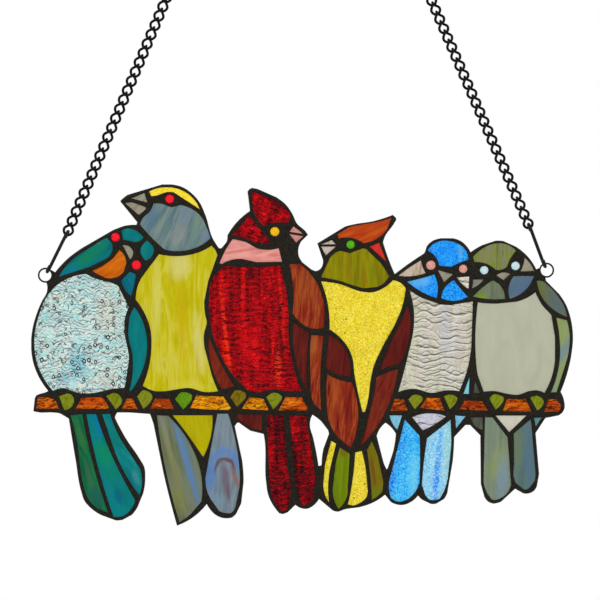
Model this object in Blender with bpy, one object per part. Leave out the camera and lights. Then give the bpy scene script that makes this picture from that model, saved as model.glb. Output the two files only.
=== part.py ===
"""A stained glass window panel: six birds in a row on a branch, hung from two chains.

The panel is a leading lattice with flat panes of glass in its openings. Two wire rings are
soldered to its shoulders, an S-hook joins each ring to a chain, and a larger S-hook ends each
chain. The outlines are drawn on a cartoon, as a glazier draws them: x to the right and y down,
in pixels of the photograph. UNIT turns the cartoon into metres.
The world origin is midway between the eyes of the two top hooks. X is the width, Z is up, and
the front of the panel faces -Y.
"""
import math

import bpy
from mathutils import Vector

# Panel sizes, in metres
PANEL_WIDTH = 0.520
LEADING_DEPTH = 0.005
GLASS_DEPTH = 0.003
FIT_GAP = 0.0003
STAY_WIRE = 0.0020

# Hanger sizes, in metres
RING_DIAMETER = 0.0146
RING_WIRE = 0.0015
HOOK_WIRE = 0.0028
HOOK_SPAN = 0.0348
RING_HOOK_RADIUS = 0.0040
TOP_HOOK_RADIUS = 0.0064
LINK_WIRE = 0.0017
LINK_PITCH = 0.00972
LINK_WIDTH = 0.0104
LINK_COUNT = 26

# How far the hooks and the chains lean inward from upright, in degrees
LEFT_HOOK_LEAN = 27.5
LEFT_CHAIN_LEAN = 22.9
RIGHT_HOOK_LEAN = 21.5
RIGHT_CHAIN_LEAN = 23.4

# How finely curves are drawn
CURVE_STEPS = 12
CHORD_TURN = math.radians(29)
EYE_SIDES = 10
RING_SIDES = 16
WIRE_SIDES = 6
HOOK_SWEEP = math.radians(225)
HOOK_STEP = math.radians(30)
LINK_SINK = 0.25
LINK_TWIST = math.radians(45)
LINK_END = 0.45

# Cartoon frame, in pixels of the photograph
CARTOON_LEFT = 31.6
CARTOON_RIGHT = 573.0
CARTOON_MIDDLE = (300.0, 300.0)
UNIT = PANEL_WIDTH / (CARTOON_RIGHT - CARTOON_LEFT)
CHORD_ERROR = 0.4685 * UNIT

# Where the rings sit on the cartoon, and the stay wire's two ends
LEFT_RING = (45.4, 275.2)
RIGHT_RING = (546.6, 270.2)
LEFT_SEAT = (40.0, -82.0)
RIGHT_SEAT = (165.0, 262.0)
STAY_ENDS = ((64.0, 411.3), (540.0, 414.1))

# Outlines: each inner list is a smooth run that starts at a sharp corner and ends at the next one
TEAL_BIRD = {
    "back": [[(58.3, 277), (70, 261.5), (90, 247), (100, 240.8)],
             [(107, 237.5), (112.8, 246), (111.5, 253), (95, 264.8), (75, 271.4)]],
    "cheek": [[(92.2, 270.6), (108, 262.2), (114, 257)],
              [(119.4, 249.6), (126.6, 263), (123, 273), (109, 278.6), (97, 274.2)]],
    "crown": [[(121.4, 230.6), (129.5, 228.2), (135.5, 230.2)], [(143.6, 237.5), (136, 242.2), (130, 240.7)],
              [(123.3, 239.8)]],
    "beak": [[(122.3, 244.6), (128.5, 245.8), (133.4, 252)], [(130.2, 259.8), (127, 254.2)]],
    "nape": [[(147.5, 240.3), (154, 250), (151, 257.5)], [(145, 260.6), (140.3, 250)]],
    "throat": [[(129.8, 271.4)], [(136, 274.3), (134.8, 283)], [(131, 296.5), (121.6, 282.4)],
               [(121, 280.4)]],
    "belly": [[(86.2, 273.8), (95, 278.3), (108, 281.4)], [(118.2, 285.5), (124.2, 297.6)],
              [(129, 307.2), (124.7, 321.5), (126.3, 342), (129.2, 358), (127.6, 373)],
              [(124.5, 388), (115.5, 388.4), (96.5, 392.7), (77, 392.8), (63, 388.2)],
              [(53, 391), (39.4, 369.8), (34.5, 350.5), (37.9, 318.4), (50.7, 291.2), (61.5, 281.8)]],
    "wing": [[(134.6, 306.8), (144.2, 325), (147.2, 349.6), (139.2, 378)], [(131.5, 390.6)],
             [(129.2, 390.8), (133, 362.5), (128, 328), (131.2, 312)]],
    "tail_left": [[(70.5, 415)], [(82.5, 414), (92.5, 461)],
                  [(108.5, 513), (90, 501.5), (86, 494), (80.8, 470), (77, 441.5)]],
    "tail_middle": [[(86.3, 414)], [(96.3, 414), (111, 453), (126.5, 484.5)],
                    [(135.4, 500.2), (131, 509.5), (121, 516.8)], [(113.5, 516.7), (101, 478), (94.5, 453)]],
    "tail_right": [[(102, 414)], [(110, 413.6), (117, 431.5), (131.6, 456), (141, 471), (142.2, 483)],
                   [(139.6, 495.5), (119.5, 463), (106.2, 426.4)]],
}
YELLOW_BIRD = {
    "beak_upper": [[(131, 198.4), (138, 195.2)], [(144.5, 192.8)], [(147.6, 202.7), (140, 201)]],
    "beak_lower": [[(125, 203.3), (132, 202.3), (140, 204.6)], [(146.5, 208), (143.4, 211.6)],
                   [(138.5, 214.8)]],
    "brow": [[(149, 191.4), (165, 187.1), (181, 189.8), (194.4, 199.6)],
             [(200, 209.6), (182.4, 197.8), (172, 192), (158.4, 195.4)], [(151.3, 196.4)]],
    "head": [[(153.4, 203.4), (160, 203.2), (171, 206.9), (181, 205)],
             [(187.2, 206.6), (199.8, 214.8), (207.3, 227.5)],
             [(210.4, 238.4), (199, 246.5), (180, 251.2)], [(164.8, 249.8), (152, 238.2)],
             [(139.8, 224.3), (141.6, 219.8), (149.8, 211.5)]],
    "body": [[(159, 254), (181, 255.8), (198.5, 252.3)], [(211.4, 245.6), (215.4, 250)],
             [(217.6, 255.2), (212, 269.6), (206.9, 287), (204.4, 304)],
             [(206.9, 320.8), (204, 335.3), (208.8, 364.8)],
             [(218.3, 391.2), (205.8, 392.2), (188, 388.1), (165.6, 391.3), (154, 391)],
             [(142.7, 385.7), (150.4, 357.6), (149.2, 325)],
             [(135.6, 299.8), (139.4, 281.3), (149.5, 267)]],
    "tail_left": [[(156.8, 415)], [(168.4, 415.6), (192.4, 448), (201.6, 476)],
                  [(201.6, 501.5), (194, 511)], [(179.3, 522.5), (169.2, 486)]],
    "tail_middle": [[(172.5, 415.1)], [(212.6, 415.1), (211.8, 432)], [(203.2, 457.4), (181.4, 426.4)]],
    "tail_right": [[(217.3, 413.5)], [(228.2, 413.5), (236.4, 444.6), (239.6, 470), (239.2, 490), (229.8, 513.4)],
                   [(219, 511), (205.7, 486), (209.9, 453)]],
}
RED_BIRD = {
    "crest": [[(251.3, 191.8), (266.8, 197), (283, 206.4)], [(290.8, 215.5)],
              [(288, 223.5), (276.4, 222.6)], [(263.8, 225.8), (255.3, 215.8), (252, 199.8)]],
    "cheek": [[(248.8, 215.3), (258, 226.2)], [(271.4, 242.8), (258.8, 243.7), (245, 238.2)],
              [(231.4, 235.8)]],
    "collar": [[(219.5, 263), (227.6, 246.4)], [(232.4, 239.2), (244.4, 241.5), (259, 248.8)],
               [(278.8, 248)], [(282.2, 261.9), (258, 262.3), (233.2, 259.5)], [(221.6, 264.3)]],
    "beak_upper": [[(293.4, 226.2)], [(303.9, 234.2)], [(289.3, 232)]],
    "beak_lower": [[(289, 233.8)], [(303.6, 236.1)], [(296, 242.8)]],
    "belly": [[(226, 266.0), (253.2, 266.9)], [(280.4, 265.5), (287.6, 298), (289, 340), (292.4, 362)],
              [(301.6, 391), (289, 391.4), (275, 389.4), (256, 392.3)],
              [(247.2, 389.8), (230.4, 371.8), (215.2, 341.9), (208.7, 304), (213.2, 277.4)]],
    "wing_left": [[(208.8, 335.5), (220, 361)], [(234.4, 386.3)], [(222, 389.4), (209.8, 359)]],
    "wing_upper": [[(289.2, 264.2)], [(299.6, 263.5), (315.2, 280), (323.9, 302.6)],
                   [(323.6, 328), (314, 328.8)], [(292.4, 313), (292.4, 281)]],
    "wing_inner": [[(293, 321.5)], [(308.8, 333), (306.8, 370)], [(307.2, 391), (295.2, 358)]],
    "wing_middle": [[(310.9, 334.8)], [(323.6, 335.6), (320.5, 374)],
                    [(321.3, 411), (314, 403.6), (310.5, 375)]],
    "coverts": [[(234.7, 414.3)], [(262.1, 414.3)], [(262.1, 430.6), (252.1, 428.2)]],
    "tail_left": [[(266.8, 414.6)], [(283.4, 414.6), (287.4, 465), (291, 493.6)],
                  [(287.5, 509), (281.6, 510.9), (275.7, 504), (268.6, 460)]],
    "tail_right": [[(289.5, 415.1)],
                   [(306, 416.2), (309, 436), (314, 466), (314.6, 488), (309.6, 503.2), (303, 505), (297.6, 494),
                    (292.5, 455)]],
}
CRESTED_BIRD = {
    "beak_upper": [[(320.2, 244.6)], [(331.8, 240)], [(336, 244.4)]],
    "beak_lower": [[(321, 246.5)], [(336, 246.4)], [(325.7, 255.6)]],
    "crest": [[(337.3, 234.2), (346.4, 228.3), (375.2, 222.3)],
              [(391.6, 217.6), (383.2, 234.2), (369.6, 242)], [(363.2, 243.4), (353, 238.4)],
              [(338.4, 238.9)]],
    "tuft": [[(369.4, 246.4)], [(379.2, 242.5)], [(387, 262.6)]],
    "cheek": [[(321.8, 275.2), (326.2, 265.6), (329.8, 257.8), (340, 250.8), (350, 253), (364, 248.2), (374.5, 256.3)],
              [(388.9, 276.3), (381.6, 285), (367.2, 288.4), (341, 281.2)], [(321.4, 277.5)]],
    "breast": [[(320.8, 281.2), (336, 283.1), (354.3, 289.2), (370.4, 292.4), (384.8, 287)],
               [(392.8, 280.1), (401.4, 283.3)],
               [(405.8, 288.5), (403.8, 301), (399.2, 315.3), (385.4, 341), (371.9, 373), (369.2, 394.5)],
               [(365, 412)], [(362.4, 412), (355.2, 380), (349.8, 351)],
               [(329.4, 329.3), (327.9, 305.5)]],
    "wing_left_upper": [[(329.2, 334.8), (342, 344.4)], [(350.4, 376.5), (339.6, 375.2)],
                        [(326, 367.5), (327.4, 346.5)]],
    "wing_left_lower": [[(327.1, 373.8), (339.6, 379.8)], [(351.6, 382.1), (358.4, 418)],
                        [(350.8, 448), (331, 427), (326.4, 395)]],
    "wing_right_upper": [[(407.2, 304.6), (410.6, 317), (410.4, 330)], [(401.1, 362.9), (387.6, 367.7)],
                         [(379.8, 370.2), (384, 358), (400.8, 321)]],
    "wing_right_lower": [[(398.2, 368.8), (392.2, 395), (378.4, 424.8)],
                         [(359.2, 447.3), (371.7, 404.4)], [(376.4, 377.2), (390.8, 370.9)]],
    "tail_1": [[(331, 440.4)], [(336.2, 443.5), (331, 464), (328.4, 482)],
               [(329.4, 502.8), (324.6, 494), (323.8, 472), (327, 455)]],
    "tail_2": [[(339.8, 447.2)], [(349.8, 453.6), (348.4, 472), (344, 503.2)],
               [(338.4, 509), (333, 496), (333.2, 480)]],
    "tail_3": [[(355, 452.4)], [(361.8, 450.6), (366.6, 476), (366.2, 497.6)],
               [(352.8, 505.6)], [(347.8, 504.4), (352.4, 480)]],
    "tail_4": [[(371.6, 440.8), (376.6, 452), (381, 468.8), (383.4, 484)], [(382.4, 491.5), (376, 497.4)],
               [(371.6, 500), (370.4, 480)], [(366.8, 450)]],
}
BLUE_BIRD = {
    "crown": [[(427.5, 250.7), (435.7, 242.3), (446.3, 240.6), (460.3, 244.9), (467, 252.3)],
              [(468.3, 259.8), (457.7, 263.7)], [(451, 267)], [(439.1, 265.8), (434.3, 255.7)]],
    "beak_left": [[(398, 275.8), (411, 266.3)], [(421, 260), (423, 267.7)], [(425.8, 273.1), (411, 276.4)]],
    "cheek_left": [[(406.7, 281.5), (420, 278.5)], [(434.3, 274.2), (437.7, 285)],
                   [(436.6, 298.3), (422.3, 292.3)]],
    "chin": [[(437.7, 270), (445, 271.6)], [(453, 274.2)], [(444, 282.3)]],
    "cheek_right": [[(454, 280), (461.7, 290)], [(468, 296.7), (451.7, 301)],
                    [(440.9, 298), (444.4, 288)]],
    "beak_right": [[(456.3, 277.3)], [(469.3, 276.4)], [(468.7, 289.5), (462.3, 284.3)]],
    "belly": [[(409.3, 290), (426.3, 299.7), (446.3, 305), (459, 304)],
              [(472.9, 301), (472.4, 328), (469.6, 360)], [(459.2, 391.2), (450, 390.2), (432, 393), (413, 388.9)],
              [(398, 392.2), (407.6, 356), (414, 315)]],
    "flank": [[(469.6, 376)], [(469, 394)], [(463.2, 393.8), (466.4, 384.8)]],
    "covert_left": [[(389.4, 415.2)], [(402.2, 415.2)], [(397.4, 430), (392, 423)]],
    "tail_left": [[(404.6, 419.2), (413.2, 428.8)],
                  [(419.6, 435.6), (419.4, 460), (417.6, 488), (407.6, 499.2), (399, 501.8), (391, 498), (388.6, 488),
                   (391.4, 470.4), (398.4, 443.2)]],
    "covert_middle": [[(412, 417.2), (418, 414.8)], [(442, 414.8)], [(446, 416.4), (434, 424.8)],
                      [(422.8, 430.6)]],
    "tail_right": [[(450.4, 419.6)],
                   [(427, 438), (423, 468), (422.4, 488), (430, 500), (439, 499), (445, 488), (450.2, 460)]],
    "covert_right": [[(455, 415.2)], [(465.6, 416.2)], [(455.8, 428.8)]],
}
OLIVE_BIRD = {
    "crown": [[(472.6, 257), (482.8, 248.2), (495.6, 243.2), (507.6, 244.6)],
              [(516.2, 250.8), (510, 259.4), (507.2, 266.6)], [(495.6, 270), (486.8, 264.2)], [(474.4, 262.2)]],
    "nape": [[(524.4, 257.4), (530.2, 263.6)], [(534, 271)], [(520.2, 271.6), (523.4, 263.4)]],
    "beak": [[(496.2, 275.4), (503.4, 272.3)], [(510.4, 274)], [(503.4, 280.2)]],
    "chin": [[(473, 279.4)], [(483.6, 279.4), (480.4, 283.4)], [(471.8, 288.4)]],
    "cheek_left": [[(472.8, 296.6), (480.4, 289)], [(492.4, 280.2), (500.4, 285.4)],
                   [(505, 299), (482.8, 298.6)]],
    "cheek_right": [[(513.6, 275.9)], [(534, 275.8), (527.6, 287.8)], [(509.6, 299), (508.4, 288.2)]],
    "belly": [[(477.6, 302.2), (503, 303.2), (521.2, 300.2)], [(535.4, 292), (542.8, 305.8)],
              [(551.4, 315.6), (555.4, 344), (552, 376)],
              [(544.4, 393), (536, 390.4), (516, 395), (494.4, 391.2)],
              [(483.6, 391.8), (477.6, 375.2), (475.4, 350)]],
    "wing_upper": [[(536.6, 280.6), (542, 281), (551.4, 288.4), (560, 299), (566.2, 311.6)],
                   [(567.2, 317), (556.4, 312), (541.2, 296.2)]],
    "wing_lower": [[(556, 317.4)], [(567, 320.2), (569.8, 338), (568.6, 352), (563.6, 370)], [(556.4, 392.2)],
                   [(550.4, 392.6), (558.8, 364.8), (559.2, 337.6)]],
    "flank": [[(474.8, 380.4)], [(480, 393.2)], [(473.6, 393.2)]],
    "covert_left": [[(470.4, 417.2)], [(482.6, 417.2)], [(482.8, 430), (475.2, 426.4)]],
    "tail_left": [[(484.8, 417.2)], [(492.4, 417.2)], [(507.6, 437.2), (509.6, 465)],
                  [(511.2, 485), (503.2, 496.8), (493, 500), (486.8, 492.8), (483.6, 462), (484, 435)]],
    "covert_middle": [[(495.2, 415.4)], [(526.6, 415.4)], [(509.2, 432.2)]],
    "tail_right": [[(530.6, 419)],
                   [(513.4, 433.4), (514, 455), (517.4, 485), (526, 489.8), (533.8, 482.6), (534.4, 460), (532.8, 436)]],
    "covert_right": [[(533.8, 417.6)], [(541.8, 417.2)], [(535.6, 427)]],
}
BRANCH = {
    "bark_1": [[(37.6, 397.4), (50.8, 397.9)], [(55.6, 400)], [(59.3, 408.9)], [(36.2, 408.6)]],
    "foot_1": [[(58.9, 396), (72.4, 395.2), (74.4, 401), (70, 408.4)], [(67, 409.9)], [(64, 409.9)]],
    "bark_2": [[(81.4, 397.6)], [(101, 396.8), (105, 400)], [(109, 409)], [(75.4, 409)]],
    "foot_2": [[(106, 395.8), (116.8, 393.2), (122.4, 399.6)], [(116, 409.6)]],
    "bark_3": [[(126.8, 398)], [(132.8, 398.4)], [(138, 409.1)], [(121.6, 409.1)]],
    "foot_3": [[(137, 396.4), (144.2, 389.9), (152.4, 395)], [(143.2, 408.8)]],
    "bark_4": [[(154.8, 398.4)], [(169.4, 398.6)], [(174.4, 408.9)], [(150, 408.9)]],
    "foot_4": [[(175, 399.2), (181.6, 392.1), (191.4, 394.4)], [(183.2, 409.6)]],
    "bark_5": [[(196, 395.4)], [(223.6, 396.4)], [(231.2, 408)], [(228.8, 410), (209, 409.6)], [(190, 408.2)]],
    "foot_5": [[(230.2, 397), (236.2, 389.9), (245.8, 393.4)], [(236.6, 406.8)]],
    "bark_6": [[(249.2, 396.8)], [(263.6, 398.6)], [(269.2, 410.6)], [(241.6, 408.8)]],
    "foot_6": [[(266, 396.8), (274.4, 392.4), (281.2, 395.2)], [(273, 409.4)]],
    "bark_7": [[(285.6, 396.8)], [(301.6, 397)], [(308, 408)], [(306.4, 410.6)], [(278.4, 410.4)]],
    "bark_8": [[(394.4, 398.6)], [(403.8, 398.8)], [(408, 410.8)], [(390.4, 410.8)]],
    "foot_7": [[(408, 399.2), (414, 394.4), (422.2, 396.8)], [(414.6, 409.4)]],
    "bark_9": [[(426.4, 397.4)], [(440, 398)], [(444.4, 410.8)], [(420, 407.8)]],
    "foot_8": [[(443.6, 396.2), (451.2, 394.4), (457.6, 398.2), (455.6, 403)], [(449.8, 409.4)]],
    "bark_10": [[(464, 400.4)], [(481.6, 400.8)], [(488.2, 410.8)], [(459.2, 409.6)]],
    "foot_9": [[(489, 398.6), (494.4, 394), (503.6, 397.2)], [(495.6, 409.8)]],
    "bark_11": [[(506.8, 398.7)], [(525.6, 398.8)], [(531.6, 411.6)], [(502.4, 411.4)]],
    "foot_10": [[(529.6, 397.2), (538, 395.6), (543.8, 400.8)], [(537.2, 410.8)]],
    "bark_12": [[(548.4, 398.6)], [(556, 399.2), (561, 406)], [(558.6, 411.8)], [(543.6, 412)]],
}
FLOCK = {
    "teal_bird": TEAL_BIRD,
    "yellow_bird": YELLOW_BIRD,
    "red_bird": RED_BIRD,
    "crested_bird": CRESTED_BIRD,
    "blue_bird": BLUE_BIRD,
    "olive_bird": OLIVE_BIRD,
    "branch": BRANCH,
}

# Eyes: centre and radius of each round glass nugget
EYES = [
    (115.5, 237.2, 4.7),
    (136.5, 265.0, 5.0),
    (169.8, 199.0, 4.7),
    (274.8, 231.6, 4.9),
    (350.6, 244.6, 4.5),
    (430.8, 265.2, 5.0),
    (463.1, 268.8, 4.5),
    (484.1, 270.2, 4.5),
    (515.4, 265.9, 4.6),
]

# Gaps between the tails that are ringed by leading and open right through
TAIL_GAPS = [
    [[(312.4, 414.6), (321.6, 421.6), (329, 433.2), (324.8, 444), (322.2, 455), (320.2, 466)],
     [(318.4, 466), (314.4, 443), (310.2, 420)]],
    [[(385.6, 422.6), (390.6, 426.6)], [(396, 433.8), (392, 456), (386.9, 469.2), (380.6, 452)],
     [(376.6, 436), (381, 427)]],
]

# The panel's edge, clockwise, in stretches between the two ring seats
TOP_EDGE = [
    [(55.2, 272.2), (71.4, 255.4), (93, 241.4), (114.6, 229.4), (127, 225.3)],
    [(136.4, 224.8)],
    [(137.2, 222.2), (124.8, 207), (120.4, 201.2), (124.8, 196.6), (143.2, 190.2), (166, 184.1), (183.2, 187.4),
     (198.4, 200.6), (208, 222.2), (214, 240.6), (220, 248.4), (226.6, 241.6)],
    [(227.4, 235.4), (234, 225.4)],
    [(249.8, 211), (249.2, 202), (248.2, 190.4), (251.4, 188.2), (263, 191.2), (276.4, 197.2), (286.8, 205.6),
     (292.8, 214.6), (296, 222), (304.4, 229.8)],
    [(308, 234.8), (298.8, 247), (298.8, 255.8), (308.8, 267.8)],
    [(315.2, 271), (320.4, 268.8), (323, 262.6), (321, 253)],
    [(317.2, 243.4), (333.6, 233), (344.8, 226.6), (370.4, 221.8)],
    [(392.8, 214.8), (396, 217.8), (388.8, 230.6), (383.2, 241), (388.6, 257)],
    [(394.8, 274), (407.7, 264.3)],
    [(423.4, 253.8), (430.3, 242.3), (445, 237.8), (460.3, 240.7)],
    [(470.6, 252.2), (485.2, 243.8), (498.8, 240.4), (516.4, 247), (530.8, 260.2)],
    [(536.2, 269.2)],
]
LOWER_EDGE = [
    [(546, 280.6), (554.8, 289), (563.6, 300.2), (569.4, 313.8), (573, 338), (571, 357), (566.4, 376)],
    [(560.6, 391.8), (564, 400.4), (564, 409.8), (559.6, 415), (552, 416.4)],
    [(545.4, 418)],
    [(535.6, 433), (536.6, 444), (538.4, 461), (538.4, 480), (534.8, 490), (526, 493.8), (519.2, 491.6)],
    [(515.2, 488.6), (508.8, 494.4), (501, 501.8), (493, 503.6), (486.8, 500.6), (482.2, 490.4), (480.2, 464)],
    [(480.4, 435.6)],
    [(470, 425)],
    [(465.4, 425)],
    [(454.2, 437), (450.6, 473.6), (442.4, 500.4), (433.2, 504.2), (424, 501)],
    [(418, 495.6), (399.6, 505)],
    [(390.8, 502)],
    [(385, 494.8), (376.4, 500.8), (359.2, 507.2), (348, 508.4), (336, 511.6), (323.2, 502.4)],
    [(319, 498.9), (304.6, 508.9)],
    [(295.4, 504.9), (281.2, 514), (270.7, 500.8), (265.4, 461), (264.6, 440)],
    [(263.6, 434), (249.6, 430.4), (237, 423)],
    [(234.8, 426.2), (239, 443.4), (243.2, 469), (243, 491.4), (240, 507), (232, 517.6), (223, 518)],
    [(206.8, 504), (190, 519.4)],
    [(177, 525.6), (166.2, 485), (159, 452), (153.8, 425)],
    [(150, 414), (132, 412.8), (116.4, 413.6)],
    [(115, 417.8), (121, 430), (132.6, 449), (144.8, 469), (145.2, 480), (141, 500), (130.4, 516), (118.8, 520.6),
     (106.8, 517.6), (94, 510.6), (85.6, 502.6), (79.2, 481.8), (74.6, 453)],
    [(68.8, 418.6), (60.4, 413.6), (40.2, 412.6)],
    [(33.4, 411.2), (33.6, 405), (37, 394.8), (42.6, 393.5)],
    [(48.2, 390.9), (33.4, 363.2), (32.6, 328), (39.4, 306.2), (47.4, 287)],
]

# The panes that are solids here. The rest of the openings hold pieces under about 15 mm across
PANES = {
    "teal_bird": {"back": "teal", "cheek": "orange", "belly": "clear_blue", "wing": "teal",
                  "tail_left": "green", "tail_middle": "teal", "tail_right": "teal"},
    "yellow_bird": {"head": "slate", "body": "yellow", "tail_left": "slate", "tail_middle": "yellow",
                    "tail_right": "slate"},
    "red_bird": {"crest": "red", "cheek": "red", "collar": "pink", "belly": "red", "wing_left": "brown",
                 "wing_upper": "brown", "wing_inner": "brown", "wing_middle": "brown", "coverts": "brown",
                 "tail_left": "red", "tail_right": "red"},
    "crested_bird": {"crest": "brown", "cheek": "olive", "breast": "amber", "wing_left_upper": "brown",
                     "wing_left_lower": "brown", "wing_right_upper": "brown", "wing_right_lower": "brown",
                     "tail_1": "amber", "tail_2": "olive", "tail_3": "amber", "tail_4": "olive"},
    "blue_bird": {"crown": "blue", "cheek_left": "blue", "cheek_right": "blue", "belly": "pearl",
                  "tail_left": "blue", "covert_middle": "pearl", "tail_right": "blue"},
    "olive_bird": {"crown": "moss", "cheek_left": "moss", "cheek_right": "slate", "belly": "stone",
                   "wing_upper": "moss", "wing_lower": "moss", "tail_left": "moss", "covert_middle": "stone",
                   "tail_right": "slate"},
}
GLASS_COLOURS = {
    "teal": (0.00, 0.22, 0.22),
    "green": (0.02, 0.20, 0.08),
    "orange": (0.60, 0.16, 0.01),
    "clear_blue": (0.62, 0.80, 0.80),
    "slate": (0.16, 0.24, 0.28),
    "yellow": (0.52, 0.48, 0.02),
    "amber": (0.78, 0.62, 0.04),
    "red": (0.50, 0.01, 0.02),
    "pink": (0.72, 0.30, 0.28),
    "brown": (0.26, 0.05, 0.02),
    "olive": (0.25, 0.27, 0.01),
    "blue": (0.05, 0.42, 0.80),
    "pearl": (0.70, 0.68, 0.62),
    "moss": (0.22, 0.26, 0.12),
    "stone": (0.46, 0.46, 0.36),
}
GLASS_ROUGHNESS = 0.15
DARK_METAL = (0.035, 0.033, 0.030)
BLACK_METAL = (0.012, 0.012, 0.012)
METAL_ROUGHNESS = 0.45


def clear_scene():
    for obj in list(bpy.data.objects):
        bpy.data.objects.remove(obj, do_unlink=True)


def on_panel(point):
    """A cartoon point as panel x and z, in metres."""
    return Vector(((point[0] - CARTOON_MIDDLE[0]) * UNIT, (CARTOON_MIDDLE[1] - point[1]) * UNIT))


def smooth_run(points):
    """A smooth line through points, as many short steps that leave out the last point."""
    if len(points) == 2:
        return points[:1]
    spans = [(b - a).length for a, b in zip(points, points[1:])]
    slopes = [(b - a) / span for a, b, span in zip(points, points[1:], spans)]
    tangents = [(before * s1 + after * s0) / (s0 + s1)
                for before, after, s0, s1 in zip(slopes, slopes[1:], spans, spans[1:])]
    tangents.insert(0, 2 * slopes[0] - tangents[0])
    tangents.append(2 * slopes[-1] - tangents[-1])
    line = []
    for i, span in enumerate(spans):
        for step in range(CURVE_STEPS):
            t = step / CURVE_STEPS
            line.append((1 + 2 * t) * (1 - t) ** 2 * points[i] + t * (1 - t) ** 2 * span * tangents[i]
                        + t * t * (3 - 2 * t) * points[i + 1] - t * t * (1 - t) * span * tangents[i + 1])
    return line


def thin_run(line, corner):
    """The line with only the points that it needs to stay within the chord error."""
    line = line + [corner]
    kept = [line[0]]
    start = 0
    for end in range(2, len(line)):
        chord = (line[end] - line[start]).normalized()
        sag = max(abs(chord.cross(point - line[start])) for point in line[start + 1:end])
        turn = abs((line[start + 1] - line[start]).angle_signed(line[end] - line[end - 1], 0.0))
        if sag > CHORD_ERROR or turn > CHORD_TURN:
            kept.append(line[end - 1])
            start = end - 1
    return kept


def trace(runs):
    """The closed outline of smooth runs, as panel points."""
    outline = []
    for run, following in zip(runs, runs[1:] + runs[:1]):
        points = [on_panel(point) for point in run]
        corner = on_panel(following[0])
        outline += thin_run(smooth_run(points + [corner]), corner)
    return outline


def circle(centre, radius, sides):
    turns = [2 * math.pi * k / sides for k in range(sides)]
    return [centre + Vector((radius * math.cos(a), radius * math.sin(a))) for a in turns]


def ring_seat(ring, angles):
    """The arc of leading that a ring is soldered to, clear of the ring by the fit gap."""
    radius = RING_DIAMETER / 2 + FIT_GAP
    first, last = (math.radians(angle) for angle in angles)
    steps = math.ceil(abs(last - first) / CHORD_TURN)
    turns = [first + (last - first) * k / steps for k in range(steps + 1)]
    return [on_panel(ring) + Vector((radius * math.cos(a), radius * math.sin(a))) for a in turns]


def stretch(runs, corner):
    """An open stretch of the panel's edge, from its first point up to a corner."""
    edge = []
    for run, end in zip(runs, [on_panel(run[0]) for run in runs[1:]] + [corner]):
        points = [on_panel(point) for point in run]
        edge += thin_run(smooth_run(points + [end]), end)
    return edge


def panel_edge():
    right = ring_seat(RIGHT_RING, RIGHT_SEAT)
    left = ring_seat(LEFT_RING, reversed(LEFT_SEAT))
    top = stretch(TOP_EDGE, right[0])
    lower = stretch(LOWER_EDGE, left[0])
    return top + right + lower + left


def inset(outline, gap):
    """The outline moved inward by the gap."""
    area = sum(a.cross(b) for a, b in zip(outline, outline[1:] + outline[:1]))
    side = 1 if area > 0 else -1
    moved = []
    for before, point, after in zip(outline[-1:] + outline[:-1], outline, outline[1:] + outline[:1]):
        into = (point - before).normalized().orthogonal() * side
        out_of = (after - point).normalized().orthogonal() * side
        moved.append(point + (into + out_of) * gap / (1 + into.dot(out_of)))
    return moved


def metal(name, colour):
    material = bpy.data.materials.new(name)
    material.use_nodes = True
    shader = material.node_tree.nodes["Principled BSDF"]
    shader.inputs["Base Color"].default_value = (*colour, 1)
    shader.inputs["Metallic"].default_value = 1
    shader.inputs["Roughness"].default_value = METAL_ROUGHNESS
    return material


def glass(name, colour):
    material = bpy.data.materials.new(name)
    material.use_nodes = True
    shader = material.node_tree.nodes["Principled BSDF"]
    shader.inputs["Base Color"].default_value = (*colour, 1)
    shader.inputs["Metallic"].default_value = 0
    shader.inputs["Roughness"].default_value = GLASS_ROUGHNESS
    return material


def add_object(name, data, material, panel):
    obj = bpy.data.objects.new(name, data)
    data.materials.append(material)
    obj.parent = panel
    bpy.data.collections["stained_glass_panel"].objects.link(obj)
    return obj


def flat_piece(name, outlines, depth, material, panel):
    """A flat piece of the given depth, from one outline or from an edge and its openings."""
    curve = bpy.data.curves.new(name, "CURVE")
    curve.dimensions = "2D"
    curve.fill_mode = "BOTH"
    curve.extrude = depth / 2
    for outline in outlines:
        spline = curve.splines.new("POLY")
        spline.points.add(len(outline) - 1)
        for place, point in zip(spline.points, outline):
            place.co = (point.x, point.y, 0, 1)
        spline.use_cyclic_u = True
    obj = add_object(name, curve, material, panel)
    obj.rotation_euler = (math.radians(90), 0, 0)
    return obj


def add_path(curve, path, closed):
    """One more line of the curve, through the points of the path."""
    spline = curve.splines.new("POLY")
    spline.points.add(len(path) - 1)
    for place, point in zip(spline.points, path):
        place.co = (*point, 1)
    spline.use_cyclic_u = closed


def open_wire(name, path, wire, resolution):
    """A round wire along a path, with closed ends."""
    curve = bpy.data.curves.new(name, "CURVE")
    curve.dimensions = "3D"
    curve.bevel_depth = wire / 2
    curve.bevel_resolution = resolution
    curve.use_fill_caps = True
    add_path(curve, path, False)
    return curve


def upright(angle):
    """The direction that leans by an angle from straight up, in the panel's plane."""
    return Vector((math.sin(math.radians(angle)), 0, math.cos(math.radians(angle))))


def make_leading(panel):
    outlines = [panel_edge()]
    for pieces in FLOCK.values():
        outlines += [trace(runs) for runs in pieces.values()]
    outlines += [trace(runs) for runs in TAIL_GAPS]
    outlines += [circle(on_panel(eye[:2]), eye[2] * UNIT, EYE_SIDES) for eye in EYES]
    flat_piece("leading", outlines, LEADING_DEPTH, metal("leading", DARK_METAL), panel)


def make_panes(panel):
    for bird, pieces in PANES.items():
        for piece, colour in pieces.items():
            name = bird + "_" + piece
            outline = inset(trace(FLOCK[bird][piece]), FIT_GAP)
            flat_piece(name, [outline], GLASS_DEPTH, glass(name, GLASS_COLOURS[colour]), panel)


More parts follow.
